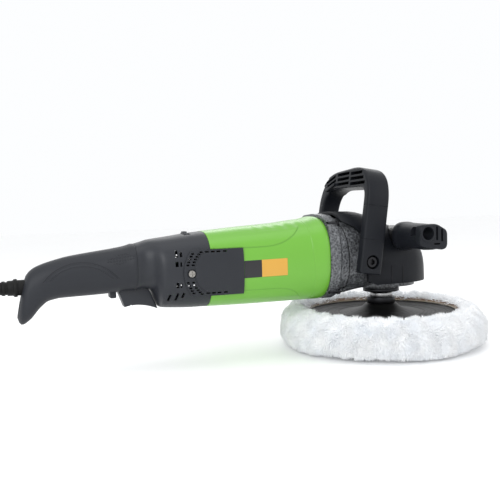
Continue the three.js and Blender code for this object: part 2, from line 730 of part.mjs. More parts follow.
// A wedge about the motor's axis, from one angle to another, in degrees from +Y towards +Z.
function sector(inner, outer, fromAngle, toAngle, fromX, toX) {
  const [a, b] = [fromAngle, toAngle].map(THREE.MathUtils.degToRad);
  const shape = new THREE.Shape();
  shape.absarc(0, axisZ, outer, a, b, false);
  shape.absarc(0, axisZ, inner, b, a, true);
  shape.closePath();
  return prism(shape, 'x', fromX, toX, 6);
}

const coilHalfAngle = 38;

function statorCore() {
  const body = ring('x', statorBore, statorRadius, coreRearX, coreFrontX, [0, 0, axisZ], 28);
  const windows = [0, 180].map((middle) => {
    const [from, to] = [middle - coilHalfAngle, middle + coilHalfAngle];
    return sector(statorBore - 5, statorRadius - 5, from, to, coreRearX - 1, coreFrontX + 1);
  });
  return cut(body, ...windows);
}
add('stator_core', statorCore(), 'laminate');

for (const [name, side] of sides) {
  const middle = side < 0 ? 180 : 0;
  const reach = coilHalfAngle - 1.5;
  const coil = sector(statorBore + 0.6, statorRadius - 5 - gap, middle - reach, middle + reach,
    coreRearX - 9, coreFrontX + 9);
  add(`field_coil_${name}`, coil, 'copper');
}

const brushX = (commutatorFrontX + commutatorRearX) / 2;

for (const [name, side] of sides) {
  const span = (near, far) => (side < 0 ? [-far, -near] : [near, far]);
  const block = (halfX, halfZ, near, far) => {
    const [from, to] = span(near, far);
    return box([brushX - halfX, from, axisZ - halfZ], [brushX + halfX, to, axisZ + halfZ]);
  };
  const holder = cut(block(4, 6.5, 15.5, 30), block(2.9, 5, 14, 31));
  add(`brush_holder_${name}`, holder, 'brass');
  add(`carbon_brush_${name}`, block(2.6, 4.7, commutatorRadius + gap, 27), 'carbon');
}

// ---------------------------------------------------------------- loop handle

const loopBottom = 12.5;

// The bow's outline, its grip thicker and a little higher on the operator's right.
function loopOutline() {
  const half = loopWidth / 2;
  const inside = half - loopArmThick;
  const bar = loopRise - loopCrossbar;
  const lean = loopDrop / loopWidth;
  const shape = new THREE.Shape();
  shape.moveTo(-half, -loopBottom);
  shape.lineTo(-inside, -loopBottom);
  shape.lineTo(-inside, bar - 12);
  shape.quadraticCurveTo(-inside, bar, -inside + 12, bar);
  shape.lineTo(inside - 30, bar);
  shape.quadraticCurveTo(inside, bar, inside, bar - 30);
  shape.lineTo(inside, -loopBottom);
  shape.lineTo(half, -loopBottom);
  shape.lineTo(half, loopRise - loopDrop - loopCornerRadius);
  shape.quadraticCurveTo(half, loopRise - loopDrop, half - loopCornerRadius,
    loopRise - loopDrop + lean * loopCornerRadius);
  shape.lineTo(-half + loopCornerRadius, loopRise - lean * loopCornerRadius);
  shape.quadraticCurveTo(-half, loopRise, -half, loopRise - loopCornerRadius);
  shape.closePath();
  return shape;
}

const pocketDepth = 15;
const pocketRows = [-5.6, 0, 5.6];
const pocketColumns = [-18, 0, 18];
const boltSeatRadius = 7.2;
const boltHeadRadius = 5.6;
const boltSeatDepth = 6;

function loopHandle() {
  const taper = outline([-loopDepth / 2, -80], [loopDepth / 2, -80], [loopDepth / 2, -40],
    [loopDepth / 2 - 2.5, 60], [1.5 - loopDepth / 2, 60], [-loopDepth / 2, -40]);
  const bow = prism(loopOutline(), 'x', -loopDepth, loopDepth, 6).intersect(prism(taper, 'z', -40, 120));
  const pockets = pocketRows.flatMap((row) => pocketColumns.map((column) => {
    const z = loopRise - loopCrossbar / 2 - loopDrop / 4 + row;
    const rear = -loopDepth / 2;
    return box([rear - 1, column - 8, z - 1.9], [rear + pocketDepth, column + 8, z + 1.9]);
  }));
  const half = loopWidth / 2;
  const holes = sides.flatMap(([, side]) => [
    cylinder('y', loopBoltRadius + gap, Math.min(0, side * 80), Math.max(0, side * 80), [0, 0, 0], 16),
    cylinder('y', boltSeatRadius, Math.min(side * (half - boltSeatDepth), side * 80),
      Math.max(side * (half - boltSeatDepth), side * 80), [0, 0, 0], 20),
  ]);
  return cut(bow, ...pockets, ...holes).rotate([0, loopLean, 0]).translate([loopBoltX, 0, axisZ]);
}
add('loop_handle', loopHandle(), 'black');

function loopBolt(side) {
  const seat = loopWidth / 2 - boltSeatDepth + gap;
  const profile = [[0, 30], [loopBoltRadius, 30], [loopBoltRadius, seat], [boltHeadRadius, seat],
    [boltHeadRadius, seat + 4.4], [2.6, seat + 4.4], [2.6, seat + 1.6], [0, seat + 1.6]]
    .map(([radius, along]) => [radius, side * along]);
  return turned(profile, 'y', [loopBoltX, 0, axisZ], 16);
}
for (const [name, side] of sides) add(`loop_bolt_${name}`, loopBolt(side), 'darkSteel');

// ---------------------------------------------------------------- side grip

const gripRoot = gripBossY + gap;
const gripEnd = gripRoot + gripLength;
const gripHoleX = -8.3;
const gripHoleZ = gripZ + 4;
const gripHoleRadius = 6.5;

function sideGrip() {
  const round = (along, radius) => station([along, gripZ - radius], [along, gripZ + radius], radius, 2);
  const flat = (along, low, high, half) => station([along, gripZ - low], [along, gripZ + high], half, 4);
  const body = loft([
    round(gripRoot, gripRadius + 1), round(gripRoot + 4, gripRadius + 1), round(gripRoot + 9, gripRadius - 2),
    round(gripRoot + 20, gripRadius - 0.5), round(gripRoot + 34, gripRadius),
    flat(gripRoot + 44, gripRadius - 1.5, gripRadius, 15), flat(gripEnd - 3, 12.5, 13.5, 17.5),
    flat(gripEnd, 11.5, 12.5, 16.5),
  ], 20);
  const studHole = cylinder('x', studRadius + gap, gripRoot - 1, gripRoot + 20, [0, 0, gripZ], 16);
  const socket = cylinder('x', gripHoleRadius, gripEnd - 24, gripEnd + 1, [0, gripHoleX, gripHoleZ], 24);
  const slots = [5.5, 11].map((y) =>
    box([gripEnd - 14, y - 1.6, gripZ - 8], [gripEnd + 1, y + 1.6, gripZ + 9]));
  const lengthwise = cut(body, studHole, socket, ...slots);
  return lengthwise.rotate([0, 0, -90]);
}
add('side_grip', sideGrip(), 'black');
add('grip_stud', cylinder('y', studRadius, -gripRoot - 19, -21, [0, 0, gripZ], 16), 'steel');

// ---------------------------------------------------------------- backing pad and bonnet

const padRadius = padDiameter / 2;
const padBottom = padTop - padThick;
const insertRadius = 15.5;

function padNut() {
  const bore = spindleRadius - 0.4 + gap;
  return turned([[bore, padTop - 6], [11, padTop - 6], [11, nutBottom], [insertRadius, nutBottom],
    [insertRadius, nutTop], [bore, nutTop], [bore, padTop - 6]], 'z', [0, 0, 0], 20);
}
add('pad_nut', padNut(), 'darkSteel');

function backingPad() {
  const hole = 11 + gap;
  return turned([[0, padBottom], [padRadius - 6, padBottom], [padRadius, padTop - 6], [padRadius - 3, padTop],
    [48, padTop], [34, padTop + 1.6], [22, padTop + 5], [16.5, nutBottom - gap], [hole, nutBottom - gap],
    [hole, padTop - 6 - gap], [0, padTop - 6 - gap]], 'z', [0, 0, 0], 36);
}
add('backing_pad', backingPad(), 'rubber');

const bonnetRadius = bonnetDiameter / 2;
const crestRadius = bonnetRadius - 16;
const hideThick = 1.4;

function bonnetWool() {
  const flatRadius = bonnetRadius - 12;
  return turned([[0, 0], [flatRadius, 0], [bonnetRadius - 4, 6], [bonnetRadius, 17], [bonnetRadius - 0.5, 27],
    [bonnetRadius - 5, 38], [crestRadius + 3, bonnetHeight - 1], [crestRadius - 3, bonnetHeight],
    [hemRadius + 11, bonnetHeight - 2], [hemRadius + 2, padTop + gap + 3],
    [padRadius + gap, padTop + gap], [padRadius + gap, padBottom - gap], [0, padBottom - gap]],
  'z', [0, 0, 0], 36);
}
add('bonnet_wool', bonnetWool(), 'wool');

function bonnetHide() {
  const rise = gap + 3;
  return turned([[hemRadius + 1.5 - hideThick, padTop + rise], [hemRadius + 1.5, padTop + rise],
    [hemRadius + 10, bonnetHeight - 2], [hemRadius + 10 - 2 * hideThick, bonnetHeight - 2.2],
    [hemRadius + 1.5 - hideThick, padTop + rise]], 'z', [0, 0, 0], 36);
}
add('bonnet_hide', bonnetHide(), 'hide');

function drawstring() {
  const points = [];
  for (let i = 0; i <= 6; i += 1) {
    const angle = (2 * Math.PI * i) / 6;
    points.push([hemRadius - 1 + 1.3 * Math.cos(angle), padTop + gap + 1.3 + 1.3 * Math.sin(angle)]);
  }
  return turned(points, 'z', [0, 0, 0], 36);
}
add('bonnet_drawstring', drawstring(), 'string');

// ---------------------------------------------------------------- cord guard, cord, coil and plug

const guardFrontX = tailX + 19;
const guardRearX = tailX - 49;

function cordGuard() {
  return turned([[0, guardRearX], [5.2, guardRearX], [guardRadius, tailX - 6], [guardRadius + 1.2, tailX - 6],
    [guardRadius + 1.2, tailX - 3.2], [guardRadius, tailX - 3.2], [guardRadius, tailX + 14 + gap],
    [guardFlange, tailX + 14 + gap], [guardFlange, guardFrontX], [0, guardFrontX]],
  'x', [0, 0, guardZ], 20);
}
add('cord_guard', cordGuard(), 'rubber');

add('cord_clamp', box([tailX + 24, -10, guardZ - 4], [tailX + 32, 10, guardZ + 4]), 'black');

// The lead hangs from the guard to the surface and runs to the coil.
const leadPoints = [
  [-430.3, 0, 89], [-446, 0, 88.2], [-461, 0, 85], [-475, 0, 78.5], [-487, 0, 68.5], [-497, 0, 56],
  [-506, 0, 43], [-516, 0, 30.5], [-527, 0, 19.5], [-539, 0, 11], [-552, 0, 6], [-567, 0, 4.1],
];
const coilX = -598;
const outerTurn = coilRadius + (coilTurnsWide - 1) * cordRadius;
const coilOuter = coilRadius + coilTurnsWide * cordRadius;
const coilInner = coilRadius - coilTurnsWide * cordRadius;
const coilHigh = coilLayers * 2 * cordRadius;
const tailPoints = [[-567, -2 * outerTurn, 12.1], [-560, -2 * outerTurn, 13], [-551, -2 * outerTurn, 15.2],
  [-543, -2 * outerTurn, 17.2], [-536.3, -2 * outerTurn, 18.5]];

function cordTube(points, steps) {
  const curve = new THREE.CatmullRomCurve3(points.map((point) => new THREE.Vector3(...point)));
  const section = new THREE.Shape();
  const sectionSides = 8;
  for (let i = 0; i < sectionSides; i += 1) {
    const angle = (2 * Math.PI * (i + 0.5)) / sectionSides;
    const [x, y] = [cordRadius * Math.cos(angle), cordRadius * Math.sin(angle)];
    if (i === 0) section.moveTo(x, y);
    else section.lineTo(x, y);
  }
  section.closePath();
  return solid(new THREE.ExtrudeGeometry(section, { steps, extrudePath: curve, bevelEnabled: false }));
}
add('cord_lead', cordTube(leadPoints, 12), 'cord');
add('cord_coil', ring('z', coilInner, coilOuter, 0, coilHigh, [coilX, -outerTurn, 0], 32), 'cord');
add('cord_tail', cordTube(tailPoints, 4), 'cord');

const plugRadius = 18.3;
const plugZ = 18.5;

function plug() {
  const rear = -535.2;
  const body = turned([[0, rear], [5.2, rear], [7.4, rear + 28], [13, rear + 32], [plugRadius, rear + 46],
    [plugRadius, rear + 68], [0, rear + 68]], 'x', [0, -2 * outerTurn, plugZ], 20);
  const pins = [-9.5, 9.5].map((y) =>
    cylinder('x', 2.4, rear + 66, rear + 87, [0, y - 2 * outerTurn, plugZ], 10));
  return union(body, ...pins);
}
add('plug', plug(), 'cord');

export default polisher;
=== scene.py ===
"""Rotary polisher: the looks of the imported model, in metres, in the model's own frame.

X runs forward from the rear handle to the gear head, Y to the operator's left, Z up from the
bonnet's working face. Sizes in this file are millimetres unless they say otherwise.
"""
import math
import random

import bmesh
import bpy
from mathutils import Matrix, Vector


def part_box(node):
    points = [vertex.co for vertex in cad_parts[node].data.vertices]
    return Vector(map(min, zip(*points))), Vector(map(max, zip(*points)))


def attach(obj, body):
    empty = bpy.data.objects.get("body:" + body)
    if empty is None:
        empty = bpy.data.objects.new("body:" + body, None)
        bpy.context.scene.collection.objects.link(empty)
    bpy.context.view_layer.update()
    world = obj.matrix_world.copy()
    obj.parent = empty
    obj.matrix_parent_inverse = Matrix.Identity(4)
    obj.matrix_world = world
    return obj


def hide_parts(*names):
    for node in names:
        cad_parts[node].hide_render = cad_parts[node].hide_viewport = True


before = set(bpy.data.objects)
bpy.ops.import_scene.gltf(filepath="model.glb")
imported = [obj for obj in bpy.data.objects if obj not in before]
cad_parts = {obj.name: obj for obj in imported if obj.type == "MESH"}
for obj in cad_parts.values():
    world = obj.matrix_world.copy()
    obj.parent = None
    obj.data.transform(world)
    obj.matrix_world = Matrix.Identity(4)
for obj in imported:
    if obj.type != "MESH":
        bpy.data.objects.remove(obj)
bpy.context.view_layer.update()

MM = 0.001
AXIS_Z = 97            # the motor's axis above the working face
GAP = 0.3              # between pieces that touch
SIDES = (("right", -1), ("left", 1))


def metres(point):
    return Vector([value * MM for value in point])


def clamped(value):
    """The value, kept between 0 and 1."""
    return min(max(value, 0), 1)


def around(radius, angle):
    """The two coordinates of a point on a circle round the origin."""
    return radius * math.cos(angle), radius * math.sin(angle)


def into_scene(name, data):
    thing = bpy.data.objects.new(name, data)
    bpy.context.collection.objects.link(thing)
    return thing


# ---------------------------------------------------------------- camera and light

def place_camera():
    """A camera a little behind the tool and to its right, at the height of the loop handle."""
    yaw, pitch, roll = (math.radians(angle) for angle in (20.46, 3.83, -1.71))
    level, down = around(1, pitch)
    forward = Vector((math.sin(yaw) * level, math.cos(yaw) * level, -down))
    level_right = Vector((math.cos(yaw), -math.sin(yaw), 0))
    level_up = level_right.cross(forward)
    right = level_right * math.cos(roll) + level_up * math.sin(roll)
    up = right.cross(forward)
    data = bpy.data.cameras.new("camera")
    data.lens = 50.4
    data.sensor_width = 36
    data.clip_start = 0.01
    camera = into_scene("camera", data)
    turn = Matrix((right, up, -forward)).transposed().to_4x4()
    camera.matrix_world = Matrix.Translation((-0.40656, -0.67636, 0.16049)) @ turn
    bpy.context.scene.camera = camera


def area_light(name, place, aim, size, power, tint=(1, 1, 1)):
    data = bpy.data.lights.new(name, "AREA")
    data.shape = "RECTANGLE"
    data.size, data.size_y = size
    data.energy = power
    data.color = tint
    light = into_scene(name, data)
    light.location = place
    light.rotation_euler = (Vector(aim) - Vector(place)).to_track_quat("-Z", "Y").to_euler()


def light_studio():
    """Soft boxes overhead and at both sides, in a pale room."""
    world = bpy.data.worlds.new("studio")
    bpy.context.scene.world = world
    world.use_nodes = True
    backdrop = world.node_tree.nodes["Background"]
    backdrop.inputs["Color"].default_value = (0.98, 0.99, 1, 1)
    backdrop.inputs["Strength"].default_value = 1.0
    bpy.context.scene.view_settings.view_transform = "Standard"
    area_light("overhead", (-0.15, -0.15, 1.25), (-0.12, 0, 0.05), (1.3, 0.8), 3)
    area_light("front_left", (-0.95, -1.0, 0.75), (-0.1, 0, 0.08), (0.7, 0.7), 7, (0.97, 0.98, 1))
    area_light("front_right", (0.75, -0.85, 0.55), (0, 0, 0.08), (0.5, 0.7), 1)
    area_light("rim", (0.3, 0.95, 0.7), (-0.1, 0, 0.1), (1.0, 0.4), 2)


# ---------------------------------------------------------------- shader expressions

def maths_of(operation):
    """An operator of Shade, which adds the Math node of its name."""
    return lambda shade, other=0.0: shade.maths(operation, shade, other)


class Shade:
    """A socket that can be written in Python expressions; each operator adds its Math node."""

    def __init__(self, tree, socket):
        self.tree = tree
        self.socket = socket

    def node(self, kind, settings, output=0, **inputs):
        """Make any node: its settings first, then the values or links of its sockets."""
        made = self.tree.nodes.new(kind)
        for key, value in settings.items():
            if key == "stops":
                ramp = made.color_ramp
                while len(ramp.elements) < len(value):
                    ramp.elements.new(0.5)
                for element, (place, colour) in zip(ramp.elements, value):
                    element.position = place
                    element.color = colour
            else:
                setattr(made, key, value)
        for key, value in inputs.items():
            socket = made.inputs[int(key[1:]) if key[0] == "_" else key.replace("_", " ")]
            if isinstance(value, Shade):
                self.tree.links.new(value.socket, socket)
            else:
                socket.default_value = value
        return Shade(self.tree, made.outputs[output])

    def maths(self, operation, first, second=0.0):
        return self.node("ShaderNodeMath", {"operation": operation}, _0=first, _1=second)

    __add__ = __radd__ = maths_of("ADD")
    __mul__ = __rmul__ = maths_of("MULTIPLY")
    __sub__ = maths_of("SUBTRACT")
    __truediv__ = maths_of("DIVIDE")
    __pow__ = maths_of("POWER")
    __abs__ = maths_of("ABSOLUTE")
    least = maths_of("MINIMUM")
    most = maths_of("MAXIMUM")
    sine = maths_of("SINE")
    root = maths_of("SQRT")

    def __rsub__(self, other):
        return self.maths("SUBTRACT", other, self)

    def step(self, low, high, to_low=0.0, to_high=1.0):
        """A soft step: to_low below low, to_high above high."""
        return self.node("ShaderNodeMapRange", {"interpolation_type": "SMOOTHSTEP"}, Value=self,
                         _1=low, _2=high, _3=to_low, _4=to_high)

    def near(self, low, high):
        """1 where this value is within low of zero, and 0 past high on either side."""
        return abs(self).step(low, high, 1, 0)

    def under(self, low, high):
        """1 below low, and 0 above high."""
        return self.step(low, high, 1, 0)

    def mixed(self, low, high):
        """A colour from low to high as this value goes from 0 to 1."""
        return self.node("ShaderNodeMix", {"data_type": "RGBA"}, output=2, _0=self, _6=low, _7=high)


class Finish:
    """A procedural material on a Principled shader, with its pattern on Object coordinates."""

    def __init__(self, name, **constants):
        self.material = bpy.data.materials.new(name)
        self.material.use_nodes = True
        self.tree = self.material.node_tree
        self.shader = self.tree.nodes["Principled BSDF"]
        for key, value in constants.items():
            self.shader.inputs[key.replace("_", " ")].default_value = value
        coordinates = self.tree.nodes.new("ShaderNodeTexCoord")
        self.place = Shade(self.tree, coordinates.outputs["Object"])

    def axes(self):
        """The place's x, y and z, in millimetres."""
        split = "ShaderNodeSeparateXYZ"
        return [self.place.node(split, {}, output=i, Vector=self.place) * 1000 for i in range(3)]

    def noise(self, scale, detail=3.0, roughness=0.55, stretch=None):
        """Smooth noise from 0 to 1, at scale cells per metre, drawn out by stretch."""
        vector = self.place
        if stretch:
            vector = vector.node("ShaderNodeMapping", {}, Vector=vector, Scale=stretch)
        return vector.node("ShaderNodeTexNoise", {}, Vector=vector, Scale=scale, Detail=detail,
                           Roughness=roughness)

    def cells(self, scale, feature="F1"):
        return self.place.node("ShaderNodeTexVoronoi", {"feature": feature}, Vector=self.place, Scale=scale)

    def colour(self, value):
        self.link(value, "Base Color")

    def two_tone(self, first, second, share, dark, light):
        """Colour from dark to light, by a share of the first pattern and the rest of the second."""
        self.colour((first * share + second * (1 - share)).mixed(rgb(*dark), rgb(*light)))

    def rough(self, value):
        self.link(value, "Roughness")

    def link(self, value, name):
        self.tree.links.new(value.socket, self.shader.inputs[name])

    def relief(self, height):
        """Raise the surface by height millimetres, and hand over the finished material."""
        self.link(self.place.node("ShaderNodeBump", {}, Height=height, Distance=MM, Strength=1.0), "Normal")
        return self.material


def rgb(red, green, blue):
    return (red, green, blue, 1)


# ---------------------------------------------------------------- finishes

def arc_line(x, z, centre, radius, width):
    """A round-bottomed line along a circle in the side view: 1 on the line, 0 away from it."""
    distance = ((x - centre[0]) ** 2 + (z - centre[1]) ** 2).root()
    return (distance - radius).near(width * 0.3, width)


def green_plastic():
    """Glossy green moulding: a panel sunk behind curved edges, a rim at its front, a two-tone plate, and
    painted shade along the sunk panel's creases.
    """
    finish = Finish("green_plastic", Specular_IOR_Level=0.4, Coat_Weight=0.2, Coat_Roughness=0.2)
    x, y, z = finish.axes()
    on_side = abs(y).step(24, 30)
    tilt = z - 0.01 * (x + 152)
    plate = (x + 175).step(0, 0.4) * (x + 130).under(0, 0.4)
    plate = plate * (tilt - 87.6).step(0, 0.4) * (tilt - 104.6).under(0, 0.4) * on_side
    dark_half = (x + 156.8).under(-0.2, 0.2)
    mottle = finish.noise(9, 2)
    shell = mottle.mixed(rgb(0.125, 0.36, 0.03), rgb(0.142, 0.395, 0.036))
    plate_colour = dark_half.mixed(rgb(0.6, 0.32, 0.045), rgb(0.012, 0.012, 0.014))
    run = ((x + 165) / 57).most(0)
    upper = z - 117 - 21.5 * run ** 3.2
    lower = 75.2 - 17 * run ** 5.4 - z
    behind_rim = (x + 107).under(0, 3) * on_side
    raised = (upper.step(0, 1.3) + lower.step(0, 1.3)) * behind_rim
    # painted shade: a darker green along the creases at the sunk panel's edges
    crease_shade = (upper.near(0.2, 0.9) + lower.near(0.2, 0.9)) * behind_rim
    rim = (x + 101.5 + 0.055 * (z - AXIS_Z)).step(0, 1.4)
    shell = (crease_shade * 0.35).mixed(shell, rgb(0.05, 0.19, 0.012))
    finish.colour(plate.mixed(shell, plate_colour))
    finish.rough(finish.noise(60, 4) * 0.1 + 0.27 + plate * 0.1)
    ripple = (x * 0.52).sine() * (x + 165).step(0, 8) * (x + 97).under(-6, 0) * (z - 132).step(0, 5)
    grain = finish.noise(900, 3)
    return finish.relief(grain * 0.03 + raised * 0.6 + rim * 0.5 + plate * 0.3 + ripple * 0.35)


BLACK_DARK, BLACK_LIGHT = (0.0085, 0.0098, 0.0135), (0.015, 0.017, 0.022)


def black_plastic(name, grain_scale=1500, shade=1.0, rough=0.42, marks=None, shine=0.36):
    """Slightly blue-black moulding with a spark-eroded grain; marks adds a piece's own relief. Shade scales
    the colour per piece as painted light: above 1 for pieces painted lighter as lit, below 1 for pieces
    painted darker as shade.
    """
    finish = Finish(name, Specular_IOR_Level=shine)
    mottle = finish.noise(14, 3)
    speck = finish.noise(grain_scale * 0.6, 2)
    # shade paints light into the colour: lighter where the light falls on a piece, darker where the piece
    # lies in shade
    dark, light = ([shade * part for part in tone] for tone in (BLACK_DARK, BLACK_LIGHT))
    finish.two_tone(mottle, speck, 0.6, dark, light)
    finish.rough(mottle * 0.12 + speck * 0.1 + rough - 0.1)
    grain = finish.cells(grain_scale, feature="SMOOTH_F1") * 0.06 + finish.noise(grain_scale, 2) * 0.05
    return finish.relief(grain if marks is None else grain + marks(finish))


def handle_marks(finish):
    """A sunk double line in an arch along the grip, and a diamond of small dots before its rim."""
    x, y, z = finish.axes()
    on_side = abs(y).step(9, 12)
    centre = (-328, 66.5)
    arch = arc_line(x, z, centre, 43, 0.9) + 0.7 * arc_line(x, z, centre, 39.6, 0.7)
    arch = arch * (z - 92.5).step(0, 2) * (x + 292).under(0, 3) * (x + 366).step(0, 3)
    pitch = 5.2
    along = x + 291
    up = (z - 111.7) - 0.1 * along
    cell_x = abs(finish.place.maths("PINGPONG", along, pitch / 2) - pitch / 4)
    cell_z = abs(finish.place.maths("PINGPONG", up, pitch / 2) - pitch / 4)
    dots = (cell_x ** 2 + cell_z ** 2).root().under(0.5, 1.0)
    diamond = (abs(along - 0.5 * up) / 15.5 + abs(up) / 6).under(0.92, 1.0)
    return (dots * diamond * 0.4 - arch * 0.6) * on_side


def cover_marks(finish):
    """The groove inside the brush cover's round end."""
    x, y, z = finish.axes()
    return arc_line(x, z, (-202.4, 96), 22.3, 0.7) * (x + 206).under(0, 4) * abs(y).step(28, 30) * -0.5


def loop_marks(finish):
    """Joint lines across the loop's arms."""
    x, y, z = finish.axes()
    height = (x + 43) * 0.144 + (z - AXIS_Z) * 0.99
    joints = (height - 57.3).near(0.2, 0.7) + (height - 22.6).near(0.2, 0.7)
    return joints * abs(y).step(46, 50) * -0.45


def head_marks(finish):
    """Two raised seams down the head cover's sides."""
    x, y, z = finish.axes()
    seams = (x + 12.3).near(0.2, 1.0) + (x - 1).near(0.2, 1.0)
    return seams * (z - 89).under(0, 3) * abs(y).step(28, 32) * 1.3


def hammertone():
    """Grey hammer-finish paint over a rough casting, with a joint line behind the gear chamber."""
    finish = Finish("hammertone_paint", Coat_Weight=0.15, Coat_Roughness=0.25)
    pits = finish.cells(520, feature="SMOOTH_F1")
    fine = finish.noise(1500, 3)
    broad = finish.noise(25, 2)
    tone = (pits * 1.1 + fine * 0.35 - 0.25).most(0).least(1)
    x, y, z = finish.axes()
    boss = abs(y).step(21, 23) * (z - 104).step(0, 3) * x.near(16, 20)
    joint = (x + 60 + 0.004 * (z - 95) ** 2).near(0.4, 1.1)
    paint = tone.mixed(rgb(0.011, 0.012, 0.014), rgb(0.25, 0.26, 0.275))
    finish.colour((joint * 0.85).most(boss).mixed(paint, rgb(0.008, 0.008, 0.009)))
    finish.link((1 - boss) * 0.35, "Metallic")
    finish.rough(broad * 0.12 + pits * 0.2 + 0.24)
    return finish.relief(pits * 0.42 + fine * 0.12 - joint * 0.5)


def rubber(name, tone, rough, rings=False):
    finish = Finish(name, Specular_IOR_Level=0.16)
    bloom = finish.noise(30, 4)
    dust = finish.noise(400, 3)
    dark, light = ([tone * part for part in parts] for parts in ((0.7, 0.7, 0.74), (1.4, 1.36, 1.34)))
    finish.two_tone(bloom, dust, 0.5, dark, light)
    finish.rough(bloom * 0.14 + rough - 0.07)
    height = dust * 0.05
    if rings:
        x, y, _ = finish.axes()
        radius = (x ** 2 + y ** 2).root()
        height = height + (radius * 2.1).sine() * 0.12 * (radius - 26).step(0, 4)
    return finish.relief(height)


def turned_steel(name, tone, rough, axis="z", metallic=1.0):
    """Turned metal: fine rings round its axis, with a little oil staining."""
    finish = Finish(name, Metallic=metallic)
    stretch = {"x": (1, 0.05, 0.05), "y": (0.05, 1, 0.05), "z": (0.05, 0.05, 1)}[axis]
    rings = finish.noise(2600, 2, stretch=stretch)
    stain = finish.noise(45, 4)
    dark, light = ([part * share for part in tone] for share in (0.72, 1.1))
    finish.two_tone(rings, stain, 0.5, dark, light)
    finish.rough(rings * 0.16 + stain * 0.14 + rough - 0.12)
    return finish.relief(rings * 0.02)


def laminations():
    """Stacked sheets along the motor's axis."""
    finish = Finish("laminations", Metallic=0.9)
    x, _, _ = finish.axes()
    sheets = (x * 8.4).sine() * 0.5 + 0.5
    varnish = finish.noise(70, 4)
    finish.two_tone(sheets, varnish, 0.6, (0.1, 0.095, 0.09), (0.3, 0.3, 0.31))
    finish.rough(varnish * 0.25 + 0.32)
    return finish.relief(sheets * 0.08)


def winding():
    """Enamelled wire laid side by side."""
    finish = Finish("enamelled_wire", Metallic=0.75, Coat_Weight=0.5, Coat_Roughness=0.2)
    _, y, z = finish.axes()
    angle = finish.place.maths("ARCTAN2", y, z - AXIS_Z)
    wires = abs((angle * 52).sine())
    tone = finish.noise(90, 3)
    finish.two_tone(wires, tone, 0.7, (0.17, 0.05, 0.015), (0.62, 0.25, 0.09))
    finish.rough(tone * 0.2 + 0.25)
    return finish.relief(wires * 0.25)


def commutator_bars():
    finish = Finish("commutator_bars", Metallic=1.0)
    _, y, z = finish.axes()
    bars = abs((finish.place.maths("ARCTAN2", y, z - AXIS_Z) * 16).sine()).step(0.08, 0.2)
    film = finish.noise(120, 3)
    finish.colour(bars.mixed(rgb(0.03, 0.02, 0.015), rgb(0.56, 0.27, 0.13)))
    finish.rough(film * 0.2 + 0.22)
    return finish.relief(bars * 0.3)


def plain_part(name, dark, light, rough, grain=300, metallic=0.0):
    finish = Finish(name, Metallic=metallic)
    tone = finish.noise(grain * 0.2, 3)
    speck = finish.noise(grain, 3)
    finish.two_tone(tone, speck, 0.5, dark, light)
    finish.rough(tone * 0.15 + rough)
    return finish.relief(speck * 0.08)


def circuit_board():
    finish = Finish("circuit_board", Coat_Weight=0.4)
    x, y, _ = finish.axes()
    tracks = (abs((x * 1.4).sine()) * abs((y * 1.1).sine())).step(0.5, 0.6)
    solder = finish.cells(260).under(0.1, 0.16)
    board = tracks.mixed(rgb(0.01, 0.07, 0.025), rgb(0.02, 0.15, 0.05))
    finish.colour(solder.mixed(board, rgb(0.5, 0.5, 0.48)))
    finish.rough(finish.noise(200, 2) * 0.2 + 0.3)
    return finish.relief(tracks * 0.1 + solder * 0.4)


def tanned_hide():
    """Suede side of a tanned hide: brown, fibrous and blotched."""
    finish = Finish("tanned_hide", Sheen_Weight=0.3, Sheen_Roughness=0.5)
    blotch = finish.noise(28, 4)
    fibre = finish.noise(900, 5, 0.7)
    pores = finish.cells(600)
    tone = blotch * 0.7 + fibre * 0.3
    browns = ((0.32, rgb(0.05, 0.028, 0.015)), (0.5, rgb(0.15, 0.085, 0.045)), (0.7, rgb(0.36, 0.25, 0.15)))
    finish.colour(tone.node("ShaderNodeValToRGB", {"stops": browns}, Fac=tone))
    finish.rough(fibre * 0.15 + 0.78)
    return finish.relief(fibre * 0.4 + pores * 0.2)


def lambswool(name, low, high, core=False):
    """White pile whose tone varies at random towards a cool grey; the core is given darker, cooler colours as
    painted shade in the pile's depths, and a little glow stands for the light it scatters inside.
    """
    finish = Finish(name, Specular_IOR_Level=0.2, Sheen_Weight=0.5, Sheen_Roughness=0.4,
                    Emission_Color=(0.94, 0.97, 1, 1), Emission_Strength=0.05 if core else 0.13)
    lock = finish.noise(70, 3)
    strand = finish.noise(650, 4, 0.7)
    finish.colour((lock * 0.6 + strand * 0.4).step(0.3, 0.62).mixed(rgb(*low), rgb(*high)))
    finish.rough(strand * 0.1 + 0.84)
    return finish.relief((strand * 0.8 + lock * 1.2) * (1.0 if core else 0.25))


def cord_sheath():
    finish = Finish("cord_sheath", Specular_IOR_Level=0.45)
    scuff = finish.noise(120, 4)
    fine = finish.noise(1100, 2)
    finish.two_tone(scuff, fine, 0.6, (0.012, 0.0125, 0.014), (0.03, 0.031, 0.034))
    finish.rough(scuff * 0.2 + 0.36)
    return finish.relief(fine * 0.08 + scuff * 0.05)


def woven_string():
    finish = Finish("woven_string", Sheen_Weight=0.3)
    x, y, z = finish.axes()
    lay = (finish.place.maths("ARCTAN2", y, x) * 240 + z * 2).sine() * 0.5 + 0.5
    fuzz = finish.noise(1200, 3)
    finish.two_tone(lay, fuzz, 0.6, (0.14, 0.11, 0.08), (0.4, 0.35, 0.27))
    finish.rough(fuzz * 0.1 + 0.82)
    return finish.relief(lay * 0.35 + fuzz * 0.1)


# ---------------------------------------------------------------- workbench

def calm():
    """Object mode with nothing selected, because an operator acts on all that is selected."""
    if bpy.context.mode != "OBJECT":
        bpy.ops.object.mode_set(mode="OBJECT")
    bpy.ops.object.select_all(action="DESELECT")


def take(thing):
    """Select one object alone and make it active."""
    calm()
    thing.select_set(True)
    bpy.context.view_layer.objects.active = thing


def label(thing, body, nodes=()):
    """Say which body carries a piece, and hide the CAD parts it stands for."""
    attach(thing, body)
    if nodes:
        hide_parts(*nodes)


